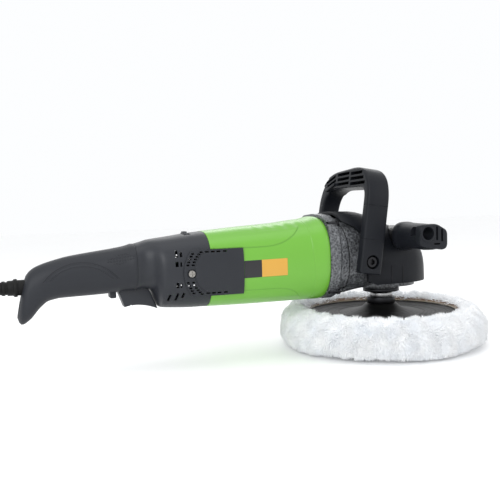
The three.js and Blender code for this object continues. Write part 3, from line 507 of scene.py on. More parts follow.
class Piece:
    """One piece on the bench; each method is one of Blender's own modelling tools."""

    def __init__(self, name):
        self.thing = bpy.context.active_object
        self.thing.name = name
        bpy.ops.object.transform_apply(location=True, rotation=True, scale=True)

    def open(self):
        take(self.thing)
        bpy.ops.object.mode_set(mode="EDIT")
        bpy.ops.mesh.select_all(action="SELECT")

    def pick(self, kind, test):
        """Select the faces or the edges that pass the test."""
        self.open()
        bpy.ops.mesh.select_mode(type=kind)
        bpy.ops.mesh.select_all(action="DESELECT")
        mesh = bmesh.from_edit_mesh(self.thing.data)
        for part in mesh.faces if kind == "FACE" else mesh.edges:
            part.select_set(test(part))
        bmesh.update_edit_mesh(self.thing.data)

    def pick_faces(self, test):
        """Select the faces whose middle, in millimetres, and normal pass the test."""
        self.pick("FACE", lambda face: test(face.calc_center_median() / MM, face.normal))

    def pick_edges(self, test):
        """Select the edges whose two ends, in millimetres, pass the test."""
        self.pick("EDGE", lambda edge: test(edge.verts[0].co / MM, edge.verts[1].co / MM))

    def remove_faces(self, test):
        self.pick_faces(test)
        bpy.ops.mesh.delete(type="FACE")
        calm()
        return self

    def modify(self, kind, **settings):
        take(self.thing)
        modifier = self.thing.modifiers.new("work", kind)
        for key, value in settings.items():
            setattr(modifier, key, value)
        bpy.ops.object.modifier_apply(modifier=modifier.name)
        return self

    def combine(self, operation, *tools):
        """Cut, join or keep what the tools' solids share, and use the tools up."""
        calm()
        for tool in tools:
            tool.thing.select_set(True)
        bpy.context.view_layer.objects.active = tools[0].thing
        if len(tools) > 1:
            bpy.ops.object.join()
        joined = tools[0].thing
        self.modify("BOOLEAN", operation=operation, solver="EXACT", object=joined, use_self=len(tools) > 1)
        bpy.data.objects.remove(joined)
        return self

    def cut(self, *tools):
        return self.combine("DIFFERENCE", *tools)

    def weld(self, tool):
        return self.combine("UNION", tool)

    def share(self, tool):
        return self.combine("INTERSECT", tool)

    def wall(self, thickness):
        """Give an open surface a wall, on its inner side."""
        self.recalculate()
        return self.modify("SOLIDIFY", thickness=thickness * MM, offset=-1, use_even_offset=True)

    def ease(self, width, angle=35, segments=2):
        """Round every edge that is sharper than the angle."""
        return self.modify("BEVEL", width=width * MM, segments=segments, limit_method="ANGLE",
                           angle_limit=math.radians(angle), use_clamp_overlap=True)

    def clean(self, angle=0.6, merge=0.02):
        """Merge doubled points and dissolve the edges inside flat faces."""
        self.open()
        bpy.ops.mesh.remove_doubles(threshold=merge * MM)
        bpy.ops.mesh.dissolve_limited(angle_limit=math.radians(angle))
        calm()
        return self

    def recalculate(self):
        """Merge doubled points and turn every face outwards."""
        self.open()
        bpy.ops.mesh.remove_doubles(threshold=0.002 * MM)
        bpy.ops.mesh.normals_make_consistent(inside=False)
        calm()
        return self

    def turn(self, degrees, axis, centre):
        """Turn the whole piece about a point."""
        take(self.thing)
        spin = Matrix.Rotation(math.radians(degrees), 4, axis)
        middle = Matrix.Translation(metres(centre))
        self.thing.data.transform(middle @ spin @ middle.inverted())
        return self

    def move(self, step):
        self.thing.data.transform(Matrix.Translation(metres(step)))
        return self

    def copy(self, name):
        """A copy with a mesh of its own."""
        take(into_scene(name, self.thing.data.copy()))
        return Piece(name)

    def mirror(self, name):
        """The same piece on the tool's other side."""
        twin = self.copy(name)
        twin.thing.data.transform(Matrix.Scale(-1, 4, (0, 1, 0)))
        return twin.recalculate()

    def done(self, material, body, slot, *nodes, angle=35):
        """Finish the piece: shading, material, body and the CAD parts it replaces; the slot is not used."""
        self.recalculate()
        take(self.thing)
        bpy.ops.object.shade_smooth_by_angle(angle=math.radians(angle))
        self.thing.data.materials.clear()
        self.thing.data.materials.append(material)
        label(self.thing, body, nodes)
        return self


def block(name, low, high):
    calm()
    low, high = metres(low), metres(high)
    bpy.ops.mesh.primitive_cube_add(size=1, location=(low + high) / 2, scale=high - low)
    return Piece(name)


def rod(name, radius, start, end, sides=32):
    """A round bar between two points."""
    calm()
    start, end = metres(start), metres(end)
    along = end - start
    bpy.ops.mesh.primitive_cylinder_add(vertices=sides, radius=radius * MM, depth=along.length,
                                        location=(start + end) / 2,
                                        rotation=along.to_track_quat("Z", "Y").to_euler())
    return Piece(name)


LATHE_TURN = {"z": (0, 0, 0), "x": (0, math.pi / 2, 0), "y": (-math.pi / 2, 0, 0)}


def turned(name, profile, axis="z", centre=(0, 0, 0), sides=48):
    """Turned work: a disc extruded and scaled ring by ring through (radius, along)."""
    calm()
    radius, along = profile[0]
    bpy.ops.mesh.primitive_circle_add(vertices=sides, radius=radius * MM, fill_type="NGON",
                                      location=(0, 0, along * MM))
    piece = Piece(name)
    piece.open()
    for next_radius, next_along in profile[1:]:
        bpy.ops.mesh.extrude_region_move(
            TRANSFORM_OT_translate={"value": (0, 0, (next_along - along) * MM)})
        scale = next_radius / radius
        bpy.ops.transform.resize(value=(scale, scale, 1), center_override=(0, 0, next_along * MM))
        radius, along = next_radius, next_along
    take(piece.thing)
    piece.thing.rotation_euler = LATHE_TURN[axis]
    piece.thing.location = metres(centre)
    bpy.ops.object.transform_apply(location=True, rotation=True, scale=True)
    return piece.recalculate()


def drawn(name, rings, squareness=2.5, segments=10):
    """A superellipse drawn through rings of (bottom x, bottom z, top x, top z, half-width)."""
    calm()
    bpy.ops.mesh.primitive_plane_add(size=1, rotation=(0, math.pi / 2, 0))
    piece = Piece(name)
    piece.open()
    bpy.ops.mesh.bevel(offset=0.4999, segments=segments, profile=2 ** (-2 / squareness), affect="VERTICES")
    bpy.ops.mesh.remove_doubles(threshold=0.001)
    bpy.ops.mesh.select_all(action="SELECT")
    middle, height, width, slant = Vector((0, 0, 0)), 1.0, 1.0, 0.0
    for number, (low_x, low_z, high_x, high_z, half) in enumerate(rings):
        if number:
            bpy.ops.mesh.extrude_region_move()
        low, high = Vector((low_x, 0, low_z)) * MM, Vector((high_x, 0, high_z)) * MM
        next_middle = (low + high) / 2
        next_height, next_width = (high - low).length, 2 * half * MM
        next_slant = math.atan2(high.x - low.x, high.z - low.z)
        swing(-slant, middle)
        stretch = (1, next_width / width, next_height / height)
        bpy.ops.transform.resize(value=stretch, center_override=middle)
        bpy.ops.transform.translate(value=next_middle - middle)
        swing(next_slant, next_middle)
        middle, height, width, slant = next_middle, next_height, next_width, next_slant
    return piece.recalculate()


def swing(angle, centre):
    """Turn what is selected about an axis along Y; with no window the tool turns the other way."""
    if abs(angle) > 1e-6:
        bpy.ops.transform.rotate(value=-angle, orient_axis="Y", center_override=centre)


def fair(keys, spacing=3.0):
    """Rings at an even spacing, on a smooth curve through the key rings that never overshoots."""
    places = [0.0]
    for first, second in zip(keys, keys[1:]):
        shift = math.hypot((second[0] + second[2] - first[0] - first[2]) / 2,
                           (second[1] + second[3] - first[1] - first[3]) / 2)
        places.append(places[-1] + max(shift, 0.3))
    spans = [second - first for first, second in zip(places, places[1:])]
    columns = []
    for values in zip(*keys):
        steps = [(second - first) / span for first, second, span in zip(values, values[1:], spans)]
        slopes = [steps[0]]
        for before, after in zip(steps, steps[1:]):
            slopes.append(0.0 if before * after <= 0 else 2 * before * after / (before + after))
        slopes.append(steps[-1])
        columns.append((values, slopes))
    rings = []
    count = max(2, round(places[-1] / spacing))
    for number in range(count + 1):
        at = places[-1] * number / count
        span = min(max(i for i, place in enumerate(places) if place <= at + 1e-9), len(spans) - 1)
        t = (at - places[span]) / spans[span]
        leave, arrive = 2 * t ** 3 - 3 * t ** 2 + 1, 3 * t ** 2 - 2 * t ** 3
        depart, land = t ** 3 - 2 * t ** 2 + t, t ** 3 - t ** 2
        rings.append(tuple(leave * values[span] + arrive * values[span + 1]
                           + spans[span] * (depart * slopes[span] + land * slopes[span + 1])
                           for values, slopes in columns))
    return rings


def upright(x, up, down, half):
    """An upright ring, given as its reach above, below and beside the motor's axis."""
    return (x, AXIS_Z - down, x, AXIS_Z + up, half)


def grown(rings, by):
    """The rings made larger all round."""
    return [(a, b - by, c, d + by, half + by) for a, b, c, d, half in rings]


def refined(name, node, width=0.5, angle=30, segments=2, flat=0.6):
    """A copy of a CAD part with its triangles merged and its edges rounded."""
    take(into_scene(name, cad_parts[node].data.copy()))
    piece = Piece(name)
    piece.clean(flat)
    if width:
        piece.ease(width, angle, segments)
    return piece


# ---------------------------------------------------------------- cord

CORD_RADIUS = 4
COIL_CENTRE = (-598, -57)
COIL_OUTER_TURN, COIL_INNER_TURN = 57, 33
TURNS_INWARD, TURNS_ACROSS, TURNS_OUTWARD = 3, 0.5, 3
STEPS_PER_TURN = 20
LEAD_POINTS = ((-430.3, 0, 89), (-446, 0, 88.2), (-461, 0, 85), (-475, 0, 78.5), (-487, 0, 68.5),
               (-497, 0, 56), (-506, 0, 43), (-516, 0, 30.5), (-527, 0, 19.5), (-539, 0, 11),
               (-552, 0, 6), (-567, 0, 4.1))
TAIL_POINTS = ((-567, -114, 12.1), (-560, -114, 13), (-551, -114, 15.2), (-543, -114, 17.2),
               (-535.5, -114, 18.5))
PLUG_Y, PLUG_Z = -114, 18.5


def cord_route():
    """From the guard down to the surface, six and a half turns of coil in two layers, and up to the plug."""
    points = list(LEAD_POINTS) + [(-582, 0, 4)]
    pitch = (COIL_OUTER_TURN - COIL_INNER_TURN) / TURNS_INWARD
    back_out = TURNS_INWARD + TURNS_ACROSS
    for number in range(int((back_out + TURNS_OUTWARD) * STEPS_PER_TURN) + 1):
        turns = number / STEPS_PER_TURN
        radius = COIL_OUTER_TURN - pitch * min(turns, TURNS_INWARD) + pitch * max(0, turns - back_out)
        rise = clamped((turns - TURNS_INWARD) / TURNS_ACROSS)
        x, y = around(radius, math.pi / 2 + 2 * math.pi * turns)
        points.append((COIL_CENTRE[0] + x, COIL_CENTRE[1] + y, CORD_RADIUS + 2 * CORD_RADIUS * rise))
    return points + [(-582, -114, 12)] + list(TAIL_POINTS)


def smooth_route(points, steps=4):
    """The route with more points, on a curve through all of them."""
    points = [Vector(point) for point in points]
    ends = [points[0] * 2 - points[1]] + points + [points[-1] * 2 - points[-2]]
    route = []
    for before, start, end, after in zip(ends, ends[1:], ends[2:], ends[3:]):
        for number in range(steps):
            t = number / steps
            square = 2 * before - 5 * start + 4 * end - after
            cube = 3 * start - before - 3 * end + after
            route.append(0.5 * (2 * start + (end - before) * t + square * t ** 2 + cube * t ** 3))
    return route + [points[-1]]


def make_cord(material):
    data = bpy.data.curves.new("mains_cord", "CURVE")
    data.dimensions = "3D"
    data.bevel_depth = CORD_RADIUS * MM
    data.bevel_resolution = 3
    data.use_fill_caps = True
    route = smooth_route(cord_route())
    spline = data.splines.new("POLY")
    spline.points.add(len(route) - 1)
    for point, place in zip(spline.points, route):
        point.co = (*metres(place), 1)
    cord = into_scene("mains_cord", data)
    data.materials.append(material)
    label(cord, "tool", ("cord_lead", "cord_coil", "cord_tail"))
    return cord


def make_plug(material):
    """A moulded two-pin earthed plug: a ribbed neck, a waist to hold and a round face."""
    rear = -535.2
    profile = [(5.0, 0), (5.2, 2)]
    for rib in range(6):
        along, low, high = 3.5 + rib * 4, 5.3 + rib * 0.2, 6.4 + rib * 0.25
        profile += [(low, along), (high, along + 0.4), (high, along + 2.2), (low, along + 2.6)]
    profile += [(8, 29), (12.6, 32), (15.2, 36), (16.2, 41), (18, 46), (18.3, 48), (18.3, 66.6),
                (17.6, 67.8), (16.4, 68)]
    body = turned("mains_plug", profile, "x", (rear, PLUG_Y, PLUG_Z), 56)
    grips = []
    for number in range(12):
        y, z = around(18.9, 2 * math.pi * number / 12)
        start, end = ((rear + along, PLUG_Y + y, PLUG_Z + z) for along in (49, 61))
        grips.append(rod("grip_groove", 1.6, start, end, 12))
    body.cut(*grips)
    pin_profile = [(2.3, 0), (2.4, 1), (2.4, 19), (2, 20.4), (1.1, 21)]
    pins = [turned("plug_pin", pin_profile, "x", (rear + 66, PLUG_Y + y, PLUG_Z), 20) for y in (-9.5, 9.5)]
    body.done(material, "tool", "cord", "plug")
    steel = turned_steel("plug_pins", (0.62, 0.6, 0.56), 0.3, "x")
    for number, pin in enumerate(pins, 1):
        pin.done(steel, "tool", "steel", angle=50)
        pin.thing.name = f"plug_pin_{number}"
    return [body.thing] + [pin.thing for pin in pins]


def make_cord_guard(material):
    """A tapered rubber sleeve with slotted ribs, held by a collar in the handle's tail."""
    profile = [(4.6, 0), (5.4, 0.6), (5.5, 3)]
    for rib in range(7):
        along = 5 + rib * 5
        radius = 5.6 + rib * 0.19
        profile += [(radius, along), (radius - 0.75, along + 0.5), (radius - 0.7, along + 1.9),
                    (radius + 0.12, along + 2.4)]
    profile += [(7.0, 38), (7.1, 42), (8.2, 43), (8.4, 43.6), (8.4, 45.2), (8.2, 45.8), (7.2, 46),
                (7.2, 62.4), (9.3, 62.6), (9.5, 63), (9.5, 67.6), (9.2, 68)]
    sleeve = turned("cord_guard_sleeve", profile, "x", (-430, 0, 89), 40)
    sleeve.done(material, "tool", "rubber", "cord_guard")


def make_coil_tie(material):
    """A loop of hook-and-loop strap round the coil."""
    x, y = COIL_CENTRE
    strap = block("coil_tie", (x - 62.2, y - 5, 0.1), (x - 28.2, y + 5, 16.9))
    strap.pick_edges(lambda a, b: abs(a.y - b.y) > 5)
    bpy.ops.mesh.bevel(offset=3.2 * MM, segments=5, affect="EDGES")
    strap.pick_faces(lambda middle, normal: abs(normal.y) > 0.9)
    bpy.ops.mesh.delete(type="FACE")
    calm()
    strap.wall(0.7).ease(0.15)
    return strap.done(material, "tool", "cord").thing


# ---------------------------------------------------------------- housings

JOINT_X = -207         # green housing meets the rear housing
FLANGE_X = -83         # green housing meets the gear casting
NECK_X = -276          # rear handle meets the rear housing
COVER_ARC = (-202, 95)
COVER_ARC_RADIUS = 33
COVER_HIGH = 22.5
COVER_FRONT = -175.5
SCREW_X, SCREW_Z = -227.5, 95
SQUARENESS = 2.6       # of the housings' sections: 2 is an ellipse

REAR_KEYS = [upright(*key) for key in (
    (NECK_X, 27.3, 17, 23.5), (-269, 29, 16.5, 22), (-261.5, 31, 17.5, 24.5), (-256.5, 31.6, 29, 29.5),
    (-253, 32, 35.5, 32.5), (-245, 32.8, 36.6, 34), (-222, 35.6, 38, 36),
    (JOINT_X - 2 * GAP, 36.8, 38.2, 36.8))]
MOTOR_KEYS = [upright(*key) for key in (
    (JOINT_X - GAP, 37, 38.4, 37), (-167.3, 40, 39.2, 39), (-132.6, 42, 39.4, 40.5),
    (-107.8, 44.5, 39.4, 41.5), (-95.4, 45.6, 39.4, 42.6), (-88, 47.4, 39.6, 43.5),
    (-85.5, 47.8, 39.5, 43.7), (FLANGE_X - GAP, 47, 38.9, 42.9))]
BODY_KEYS = REAR_KEYS[4:-1] + MOTOR_KEYS


def open_shell(name, keys, thickness, spacing=3.0):
    """A housing with its two ends open."""
    rings = fair(keys, spacing)
    shell = drawn(name, rings, SQUARENESS, 12)
    first, last = rings[0][0] + 0.1, rings[-1][0] - 0.1
    shell.remove_faces(lambda middle, normal: abs(normal.x) > 0.9 and not first <= middle.x <= last)
    return shell.wall(thickness)


EDGE_VENT_ROWS = (75.4, 115.2)


def vent_cutters(side):
    """Small square vents in arcs round the cover's screw, with rows along its edges and behind it."""
    cutters = []

    def vent(x, z, wide, high, tilt=0):
        near, far = sorted((side * 17, side * 46))
        cutter = block("vent", (x - wide / 2, near, z - high / 2), (x + wide / 2, far, z + high / 2))
        cutters.append(cutter.turn(tilt * side, "Y", (x, 0, z)) if tilt else cutter)

    arc_x, arc_z = COVER_ARC
    for radius, first, count in ((30.2, 16, 5), (25.4, 19, 6)):
        for number in range(count):
            back, up = around(radius, math.radians(first + number * 170 / radius))
            vent(arc_x - back, arc_z + up, 2.9, 1.6)
            vent(arc_x - back, arc_z - up, 2.9, 1.6)
    for x in (-211.5, -206, -200.5, -194):
        for z in reversed(EDGE_VENT_ROWS):
            vent(x, z, 3.9, 1.4)
    for x, z, wide, high in ((-240.6, 114.2, 2.6, 6.6), (-236.3, 113.6, 2.4, 4.6), (-240.8, 104.6, 3.0, 4.8),
                             (-236.9, 104.4, 1.6, 4.2), (-240.6, 84.6, 2.6, 5.2), (-237.2, 84.2, 1.6, 4.2)):
        vent(x, z, wide, high)
    for x, z, high in ((-248.4, 72.8, 6.4), (-241.2, 73.2, 7.6), (-235.2, 74.4, 5.2)):
        vent(x, z, 2.3, high, -20)
    return cutters


def screw_hole(name, radius, start_y, end_y, sides):
    """A hole through a brush cover or the housing, in line with the cover's screw."""
    return rod(name, radius, (SCREW_X, start_y, SCREW_Z), (SCREW_X, end_y, SCREW_Z), sides)


def make_motor_shell(material):
    """The green housing, with a rolled front edge and a low step where the rear housing laps it."""
    shell = open_shell("motor_shell", MOTOR_KEYS, 2.9)
    for z in EDGE_VENT_ROWS:
        shell.cut(block("vent_window", (-210, -50, z - 1.7), (-191.5, 50, z + 1.7)))
    shell.ease(0.5)
    shell.done(material, "tool", "green_shell", "motor_housing")


def make_rear_shell(material):
    """The black housing behind the motor: its vents, the trigger's pocket and the dial's slot."""
    shell = open_shell("rear_shell", REAR_KEYS, 2.9, spacing=2.4)
    shell.cut(block("trigger_pocket", (-295, -8.6, 60), (-262, 8.6, 89)))
    shell.cut(block("dial_slot", (-227.1, -13, 112), (-220.9, 13, 150)))
    for _, side in SIDES:
        shell.cut(*vent_cutters(side))
        shell.cut(screw_hole("screw_hole", 1.9, side * 20, side * 45, 20))
    shell.ease(0.35, 40)
    shell.done(material, "tool", "black_shell", "rear_housing")


def make_brush_cover(material):
    """The pad over each carbon brush: round-ended, standing a little out of both housings."""
    arc_x, arc_z = COVER_ARC
    low, high = arc_z - COVER_HIGH, arc_z + COVER_HIGH
    outer = drawn("brush_cover_skin", fair(grown(BODY_KEYS, 1.5)), 2.9, 12)
    core = drawn("brush_cover_core", fair(grown(BODY_KEYS, 0.3)), 2.9, 12)
    cover = rod("brush_cover_right", COVER_ARC_RADIUS, (arc_x, -60, arc_z), (arc_x, -20, arc_z), 96)
    cover.weld(block("front_half", (arc_x, -60.5, low - 9), (COVER_FRONT + 5, -19.5, high + 9)))
    cover.share(block("trim", (-240, -70, low), (COVER_FRONT, -10, high)))
    cover.share(outer)
    cover.cut(core)
    cover.cut(*vent_cutters(-1))
    cover.cut(screw_hole("screw_hole", 1.9, -20, -60, 20))
    cover.cut(screw_hole("screw_seat", 4.5, -36.4, -60, 32))
    cover.clean(0.3).ease(0.3, 45)
    left = cover.mirror("brush_cover_left")
    cover.done(material, "tool", "black_shell", "brush_cover_right")
    left.done(material, "tool", "black_shell", "brush_cover_left")


def corners(node):
    """The two corners of a CAD part's box, in millimetres."""
    return [Vector(corner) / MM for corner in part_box(node)]


def cross_recess(centre, half_long, half_wide, depth, side):
    """A cross-head slot, cut into a screw that faces sideways."""
    x, y, z = centre
    near, far = sorted((y - side * depth, y + side * 2))
    halves = (half_long, half_wide)
    return [block("slot", (x - a, near, z - b), (x + a, far, z + b)) for a, b in (halves, halves[::-1])]


def make_side_screw(node, side, material):
    """A pan-head screw that faces sideways, domed, with a cross recess."""
    low, high = corners(node)
    x, z = (low.x + high.x) / 2, (low.z + high.z) / 2
    radius = (high.x - low.x) / 2
    face = high.y if side > 0 else low.y
    root = low.y if side > 0 else high.y
    shank = radius * 0.47
    profile = [(shank * 0.6, root), (shank, root + side), (shank, face - side * 2),
               (radius, face - side * 1.9), (radius, face - side * 1.2),
               (radius * 0.86, face - side * 0.5), (radius * 0.5, face - side * 0.1), (radius * 0.15, face)]
    screw = turned(node + "_head", profile, "y", (x, 0, z), 32)
    screw.cut(*cross_recess((x, face, z), radius * 0.66, radius * 0.17, 1.4, side))
    screw.done(material, "tool", "steel", node, angle=30)


# ---------------------------------------------------------------- rear handle

HANDLE_KEYS = ((-385.4, 61, -378.6, 93, 8.2), (-384.6, 57.6, -377.2, 98, 12),
               (-381.5, 54.5, -372.5, 104, 15.5), (-374.5, 58.5, -368, 107, 16),
               (-365, 69, -361, 109.8, 16.3), (-357, 75, -352, 112.4, 16.5), (-345, 77, -338, 115.6, 17),
               (-316.95, 77.6, -315.9, 118.6, 18.5), (-294, 78.5, -294, 121.3, 21.5),
               (-281, 79.6, -281, 123.7, 23.5), (-279.8, 79, -279.8, 124.4, 24.1),
               (NECK_X - GAP, 79.2, NECK_X - GAP, 124.6, 24.3))


def make_handle(material):
    """Two moulded shells round the switch, with a lip before the trigger and a hollow tail."""
    body = drawn("handle_right", fair(HANDLE_KEYS, 2.2), 2.45, 12)
    body.remove_faces(lambda middle, normal: normal.x > 0.9 and middle.x > NECK_X - 1)
    body.wall(2.8)
    body.weld(block("trigger_lip", (-300.5, -7, 73.4), (-294.6, 7, 80.2)).ease(1.2, 30, 3))
    recess = rod("tail_recess", 7, (-392, 0, 70), (-381.2, 0, 71.5), 40)
    recess.open()
    bpy.ops.transform.resize(value=(1, 0.85, 1.3), center_override=metres((-386, 0, 71)))
    calm()
    body.cut(recess.ease(0.8, 40, 3))
    body.cut(block("trigger_pocket", (-294.4, -8.5, 60), (-262, 8.5, 89)),
             rod("guard_hole", 7.6, (-400, 0, 89), (-358, 0, 89), 40))
    left = body.copy("handle_left")
    body.share(block("right_half", (-400, -60, 0), (-200, -0.15, 200)))
    left.share(block("left_half", (-400, 0.15, 0), (-200, 60, 200)))
    left.cut(rod("button_hole", 5.6, (-286, 10, 97), (-286, 40, 97), 32),
             rod("screw_seat", 3.6, (-288, 8, 112), (-288, 40, 112), 24),
             rod("screw_seat", 3.6, (-367, 8, 74), (-367, 40, 74), 24))
    body.ease(0.35, 40)
    left.ease(0.35, 40)
    body.done(material, "tool", "black_shell", "handle_right")
    left.done(material, "tool", "black_shell", "handle_left")


def plate(name, outline, depth, edge):
    """A flat outline in the XZ plane, given as (across, up), filled, made thick and its edges rounded."""
    data = bpy.data.curves.new(name, "CURVE")
    data.dimensions = "2D"
    data.fill_mode = "BOTH"
    data.extrude = (depth / 2 - edge) * MM
    data.bevel_depth = edge * MM
    data.bevel_resolution = 3
    data.offset = -edge * MM
    spline = data.splines.new("POLY")
    spline.points.add(len(outline) - 1)
    spline.use_cyclic_u = True
    for point, (across, up) in zip(spline.points, outline):
        point.co = (across * MM, up * MM, 0, 1)
    take(into_scene(name, data))
    bpy.ops.object.convert(target="MESH")
    bpy.context.active_object.rotation_euler = (math.pi / 2, 0, 0)
    return Piece(name)


def bend(start, control, end, steps):
    """Points on a quadratic curve, without its first one."""
    points = []
    for number in range(1, steps + 1):
        t = number / steps
        points.append(tuple((1 - t) ** 2 * a + 2 * t * (1 - t) * b + t ** 2 * c
                            for a, b, c in zip(start, control, end)))
    return points


def rounded_outline(*stretches):
    """An outline's points; a stretch is one point, or a start, control, end and count of steps."""
    points = []
    for stretch in stretches:
        points.append(stretch[0])
        if len(stretch) > 1:
            points += bend(*stretch)
    return points


def make_trigger(material):
    """A finger-shaped paddle, hollowed across its face."""
    outline = rounded_outline(
        ((-254.8, 60.2), (-272, 68), (-287, 64), 14), ((-293.5, 82),), ((-264.5, 82.5),), ((-261.5, 76.8),))
    paddle = plate("trigger_paddle", outline, 15, 1.2)
    paddle.weld(block("plunger", (-290, -3, 80), (-285, 3, 86)))
    for x in (-281, -275, -269):
        z = 65.2 + (x + 281) * -0.12
        paddle.cut(rod("finger_rib", 0.8, (x, -12, z), (x, 12, z), 12))
    paddle.done(material, "trigger", "black_shell", "trigger")


# ---------------------------------------------------------------- gear head

def make_head(casting, black, dark_steel):
    housing = refined("gear_casting", "gear_housing", 0.7, 32)
    housing.done(casting, "tool", "casting", "gear_housing")
    cover = refined("head_cover_shell", "head_cover", 0.0)
    cover.clean(0.5).ease(0.6, 32)
    cover.done(black, "tool", "black_shell", "head_cover")
    for number in range(1, 5):
        screw = refined(f"flange_screw_head_{number}", f"flange_screw_{number}", 0.3, 40)
        low, high = corners(f"flange_screw_{number}")
        y, z = (low.y + high.y) / 2, (low.z + high.z) / 2
        screw.cut(*(block("slot", (high.x - 1.2, y - a, z - b), (high.x + 1, y + a, z + b))
                    for a, b in ((2.2, 0.45), (0.45, 2.2))))
        screw.done(dark_steel, "tool", "dark_steel", f"flange_screw_{number}")


# ---------------------------------------------------------------- loop handle and side grip

LOOP_BOLT_X = -43
LOOP_LEAN = 8.3
LOOP_HALF = 57.5
LOOP_RISE, LOOP_DROP, LOOP_CORNER, LOOP_DEPTH = 100.5, 9.5, 42, 25
LOOP_FOOT = -12.5      # the arms' lower ends, below the bolts


def loop_outline():
    """The bow from behind, with its bolts at height 0: the near corner is higher than the far one."""
    half, foot, corner = LOOP_HALF, LOOP_FOOT, LOOP_CORNER
    inside, bar, slope = half - 11, 76, LOOP_DROP / 115
    far_top = LOOP_RISE - LOOP_DROP
    return rounded_outline(
        ((-half, foot + 2), (-half, foot), (-half + 2, foot), 4),
        ((-inside, foot),),
        ((-inside, bar - 12), (-inside, bar), (-inside + 12, bar), 10),
        ((inside - 30, bar), (inside, bar), (inside, bar - 30), 18),
        ((inside, foot),),
        ((half - 2, foot), (half, foot), (half, foot + 2), 4),
        ((half, far_top - corner), (half, far_top), (half - corner, far_top + slope * corner), 24),
        ((-half + corner, LOOP_RISE - slope * corner), (-half, LOOP_RISE), (-half, LOOP_RISE - corner), 24))


def make_loop(material, dark_steel):
    """A bow over the gear head, leaning forward, its grip cored from behind in three rows."""
    bow = plate("loop_bow", loop_outline(), LOOP_DEPTH, 3.0)
    bow.turn(90, "Z", (0, 0, 0)).move((-0.7, 0, 0))
    bow.pick_faces(lambda middle, normal: middle.y > 38)
    bpy.ops.transform.resize(value=(0.87, 1, 1), center_override=(0, 0, 0))
    calm()
    pockets = []
    for low_y, high_y, middle_z, pitch, high, tilt in (
            (-42.5, -15, 85.6, 5.5, 3.4, -2), (-12, 14, 85.6, 5.2, 3.2, -3), (17, 39, 81.2, 4.7, 2.9, -19)):
        middle_y = (low_y + high_y) / 2
        for row in (-1, 0, 1):
            z = middle_z + row * pitch
            start_y = low_y + 3.5 * row if low_y < -40 else low_y
            pocket = block("pocket", (-16, start_y, z - high / 2), (-1, high_y, z + high / 2))
            pockets.append(pocket.turn(tilt, "X", (0, middle_y, middle_z)).ease(0.6, 40, 2))
    bow.cut(*pockets)
    for _, side in SIDES:
        bow.cut(rod("bolt_hole", 4.3, (0, side * 40, 0), (0, side * 70, 0), 32))
        bow.cut(rod("bolt_seat", 7.2, (0, side * 51.5, 0), (0, side * 70, 0), 48))
    bow.turn(LOOP_LEAN, "Y", (0, 0, 0)).move((LOOP_BOLT_X, 0, AXIS_Z))
    bow.done(material, "tool", "black_shell", "loop_handle", angle=30)
    for name, side in SIDES:
        seat = side * 51.8
        profile = [(3.6, side * 30), (4, side * 31), (4, seat), (5.5, seat + side * 0.1),
                   (5.6, seat + side * 0.4), (5.6, seat + side * 3.8), (5.1, seat + side * 4.4)]
        bolt = turned(f"loop_bolt_head_{name}", profile, "y", (LOOP_BOLT_X, 0, AXIS_Z), 48)
        floor, rim = ((LOOP_BOLT_X, seat + side * along, AXIS_Z) for along in (1.4, 8))
        bolt.cut(rod("hex_socket", 3.1, floor, rim, 6))
        knurl = []
        for number in range(28):
            x, z = around(5.75, 2 * math.pi * number / 28)
            start, end = ((LOOP_BOLT_X + x, seat + side * along, AXIS_Z + z) for along in (0, 3.8))
            knurl.append(rod("knurl", 0.3, start, end, 6))
        bolt.cut(*knurl)
        bolt.done(dark_steel, "tool", "dark_steel", f"loop_bolt_{name}", angle=30)


GRIP_Z = 121.5


def make_side_grip(material):
    """A short grip, scooped underneath, with a skewed end block that has a round socket and two slots."""
    root = 46.3
    keys = ((13.2, 13.2, 13.2, 0), (14.7, 14.7, 14.7, 1.4), (15, 15, 15, 6), (13.6, 14.4, 13.6, 11),
            (12.2, 13.8, 13.2, 22), (12.2, 13.6, 13.4, 32), (12.6, 13.2, 14.2, 42), (12, 13, 14.6, 50))
    rings = [(root + out, GRIP_Z - low, root + out, GRIP_Z + high, half) for low, high, half, out in keys]
    grip = drawn("side_grip_body", fair(rings, 2.0), 2.5, 12)
    grip.turn(-90, "Z", (0, 0, 0))
    end = -(root + 56)
    outline = rounded_outline(
        ((-12, 134.6),), ((0, 135), (4, 135), (8, 132.4), 4), ((12.5, 129.8), (15.4, 128), (15.4, 124), 5),
        ((15.4, 116), (15.4, 109.4), (9, 109.4), 6), ((-12, 112.6), (-16.4, 113.4), (-16.4, 118), 6),
        ((-16.4, 129), (-16.4, 134.6), (-12, 134.6), 6))
    ending = plate("grip_end", outline[:-1], 10, 2.2)
    grip.weld(ending.move((0, end + 5, 0)))
    socket_x, socket_z = -8, 126
    collar = rod("socket_collar", 8.4, (socket_x, end - 0.8, socket_z), (socket_x, end + 4, socket_z), 48)
    grip.weld(collar.ease(0.7, 40, 3))
    grip.cut(rod("socket", 6.4, (socket_x, end - 3, socket_z), (socket_x, end + 22, socket_z), 48))
    for x, low, high in ((2.6, 119, 132.6), (8.4, 117.5, 130)):
        grip.cut(block("grip_slot", (x - 1.1, end - 3, low), (x + 1.1, end + 10, high)).ease(0.9, 40, 3))
    grip.cut(block("low_slot", (-1, end - 3, 114.6), (6, end + 3, 116.4)).ease(0.7, 40, 3))
    grip.cut(rod("stud_hole", 5.3, (0, -root + 1, GRIP_Z), (0, -root - 20, GRIP_Z), 32))
    grip.ease(0.35, 35, 2)
    grip.done(material, "tool", "black_shell", "side_grip", angle=40)


# ---------------------------------------------------------------- backing pad and bonnet

PAD_TOP, PAD_BOTTOM = 36, 24
STRING_RADIUS = 81.4
BONNET_REACH = 113.8   # the longest strand's end, from the spindle's axis


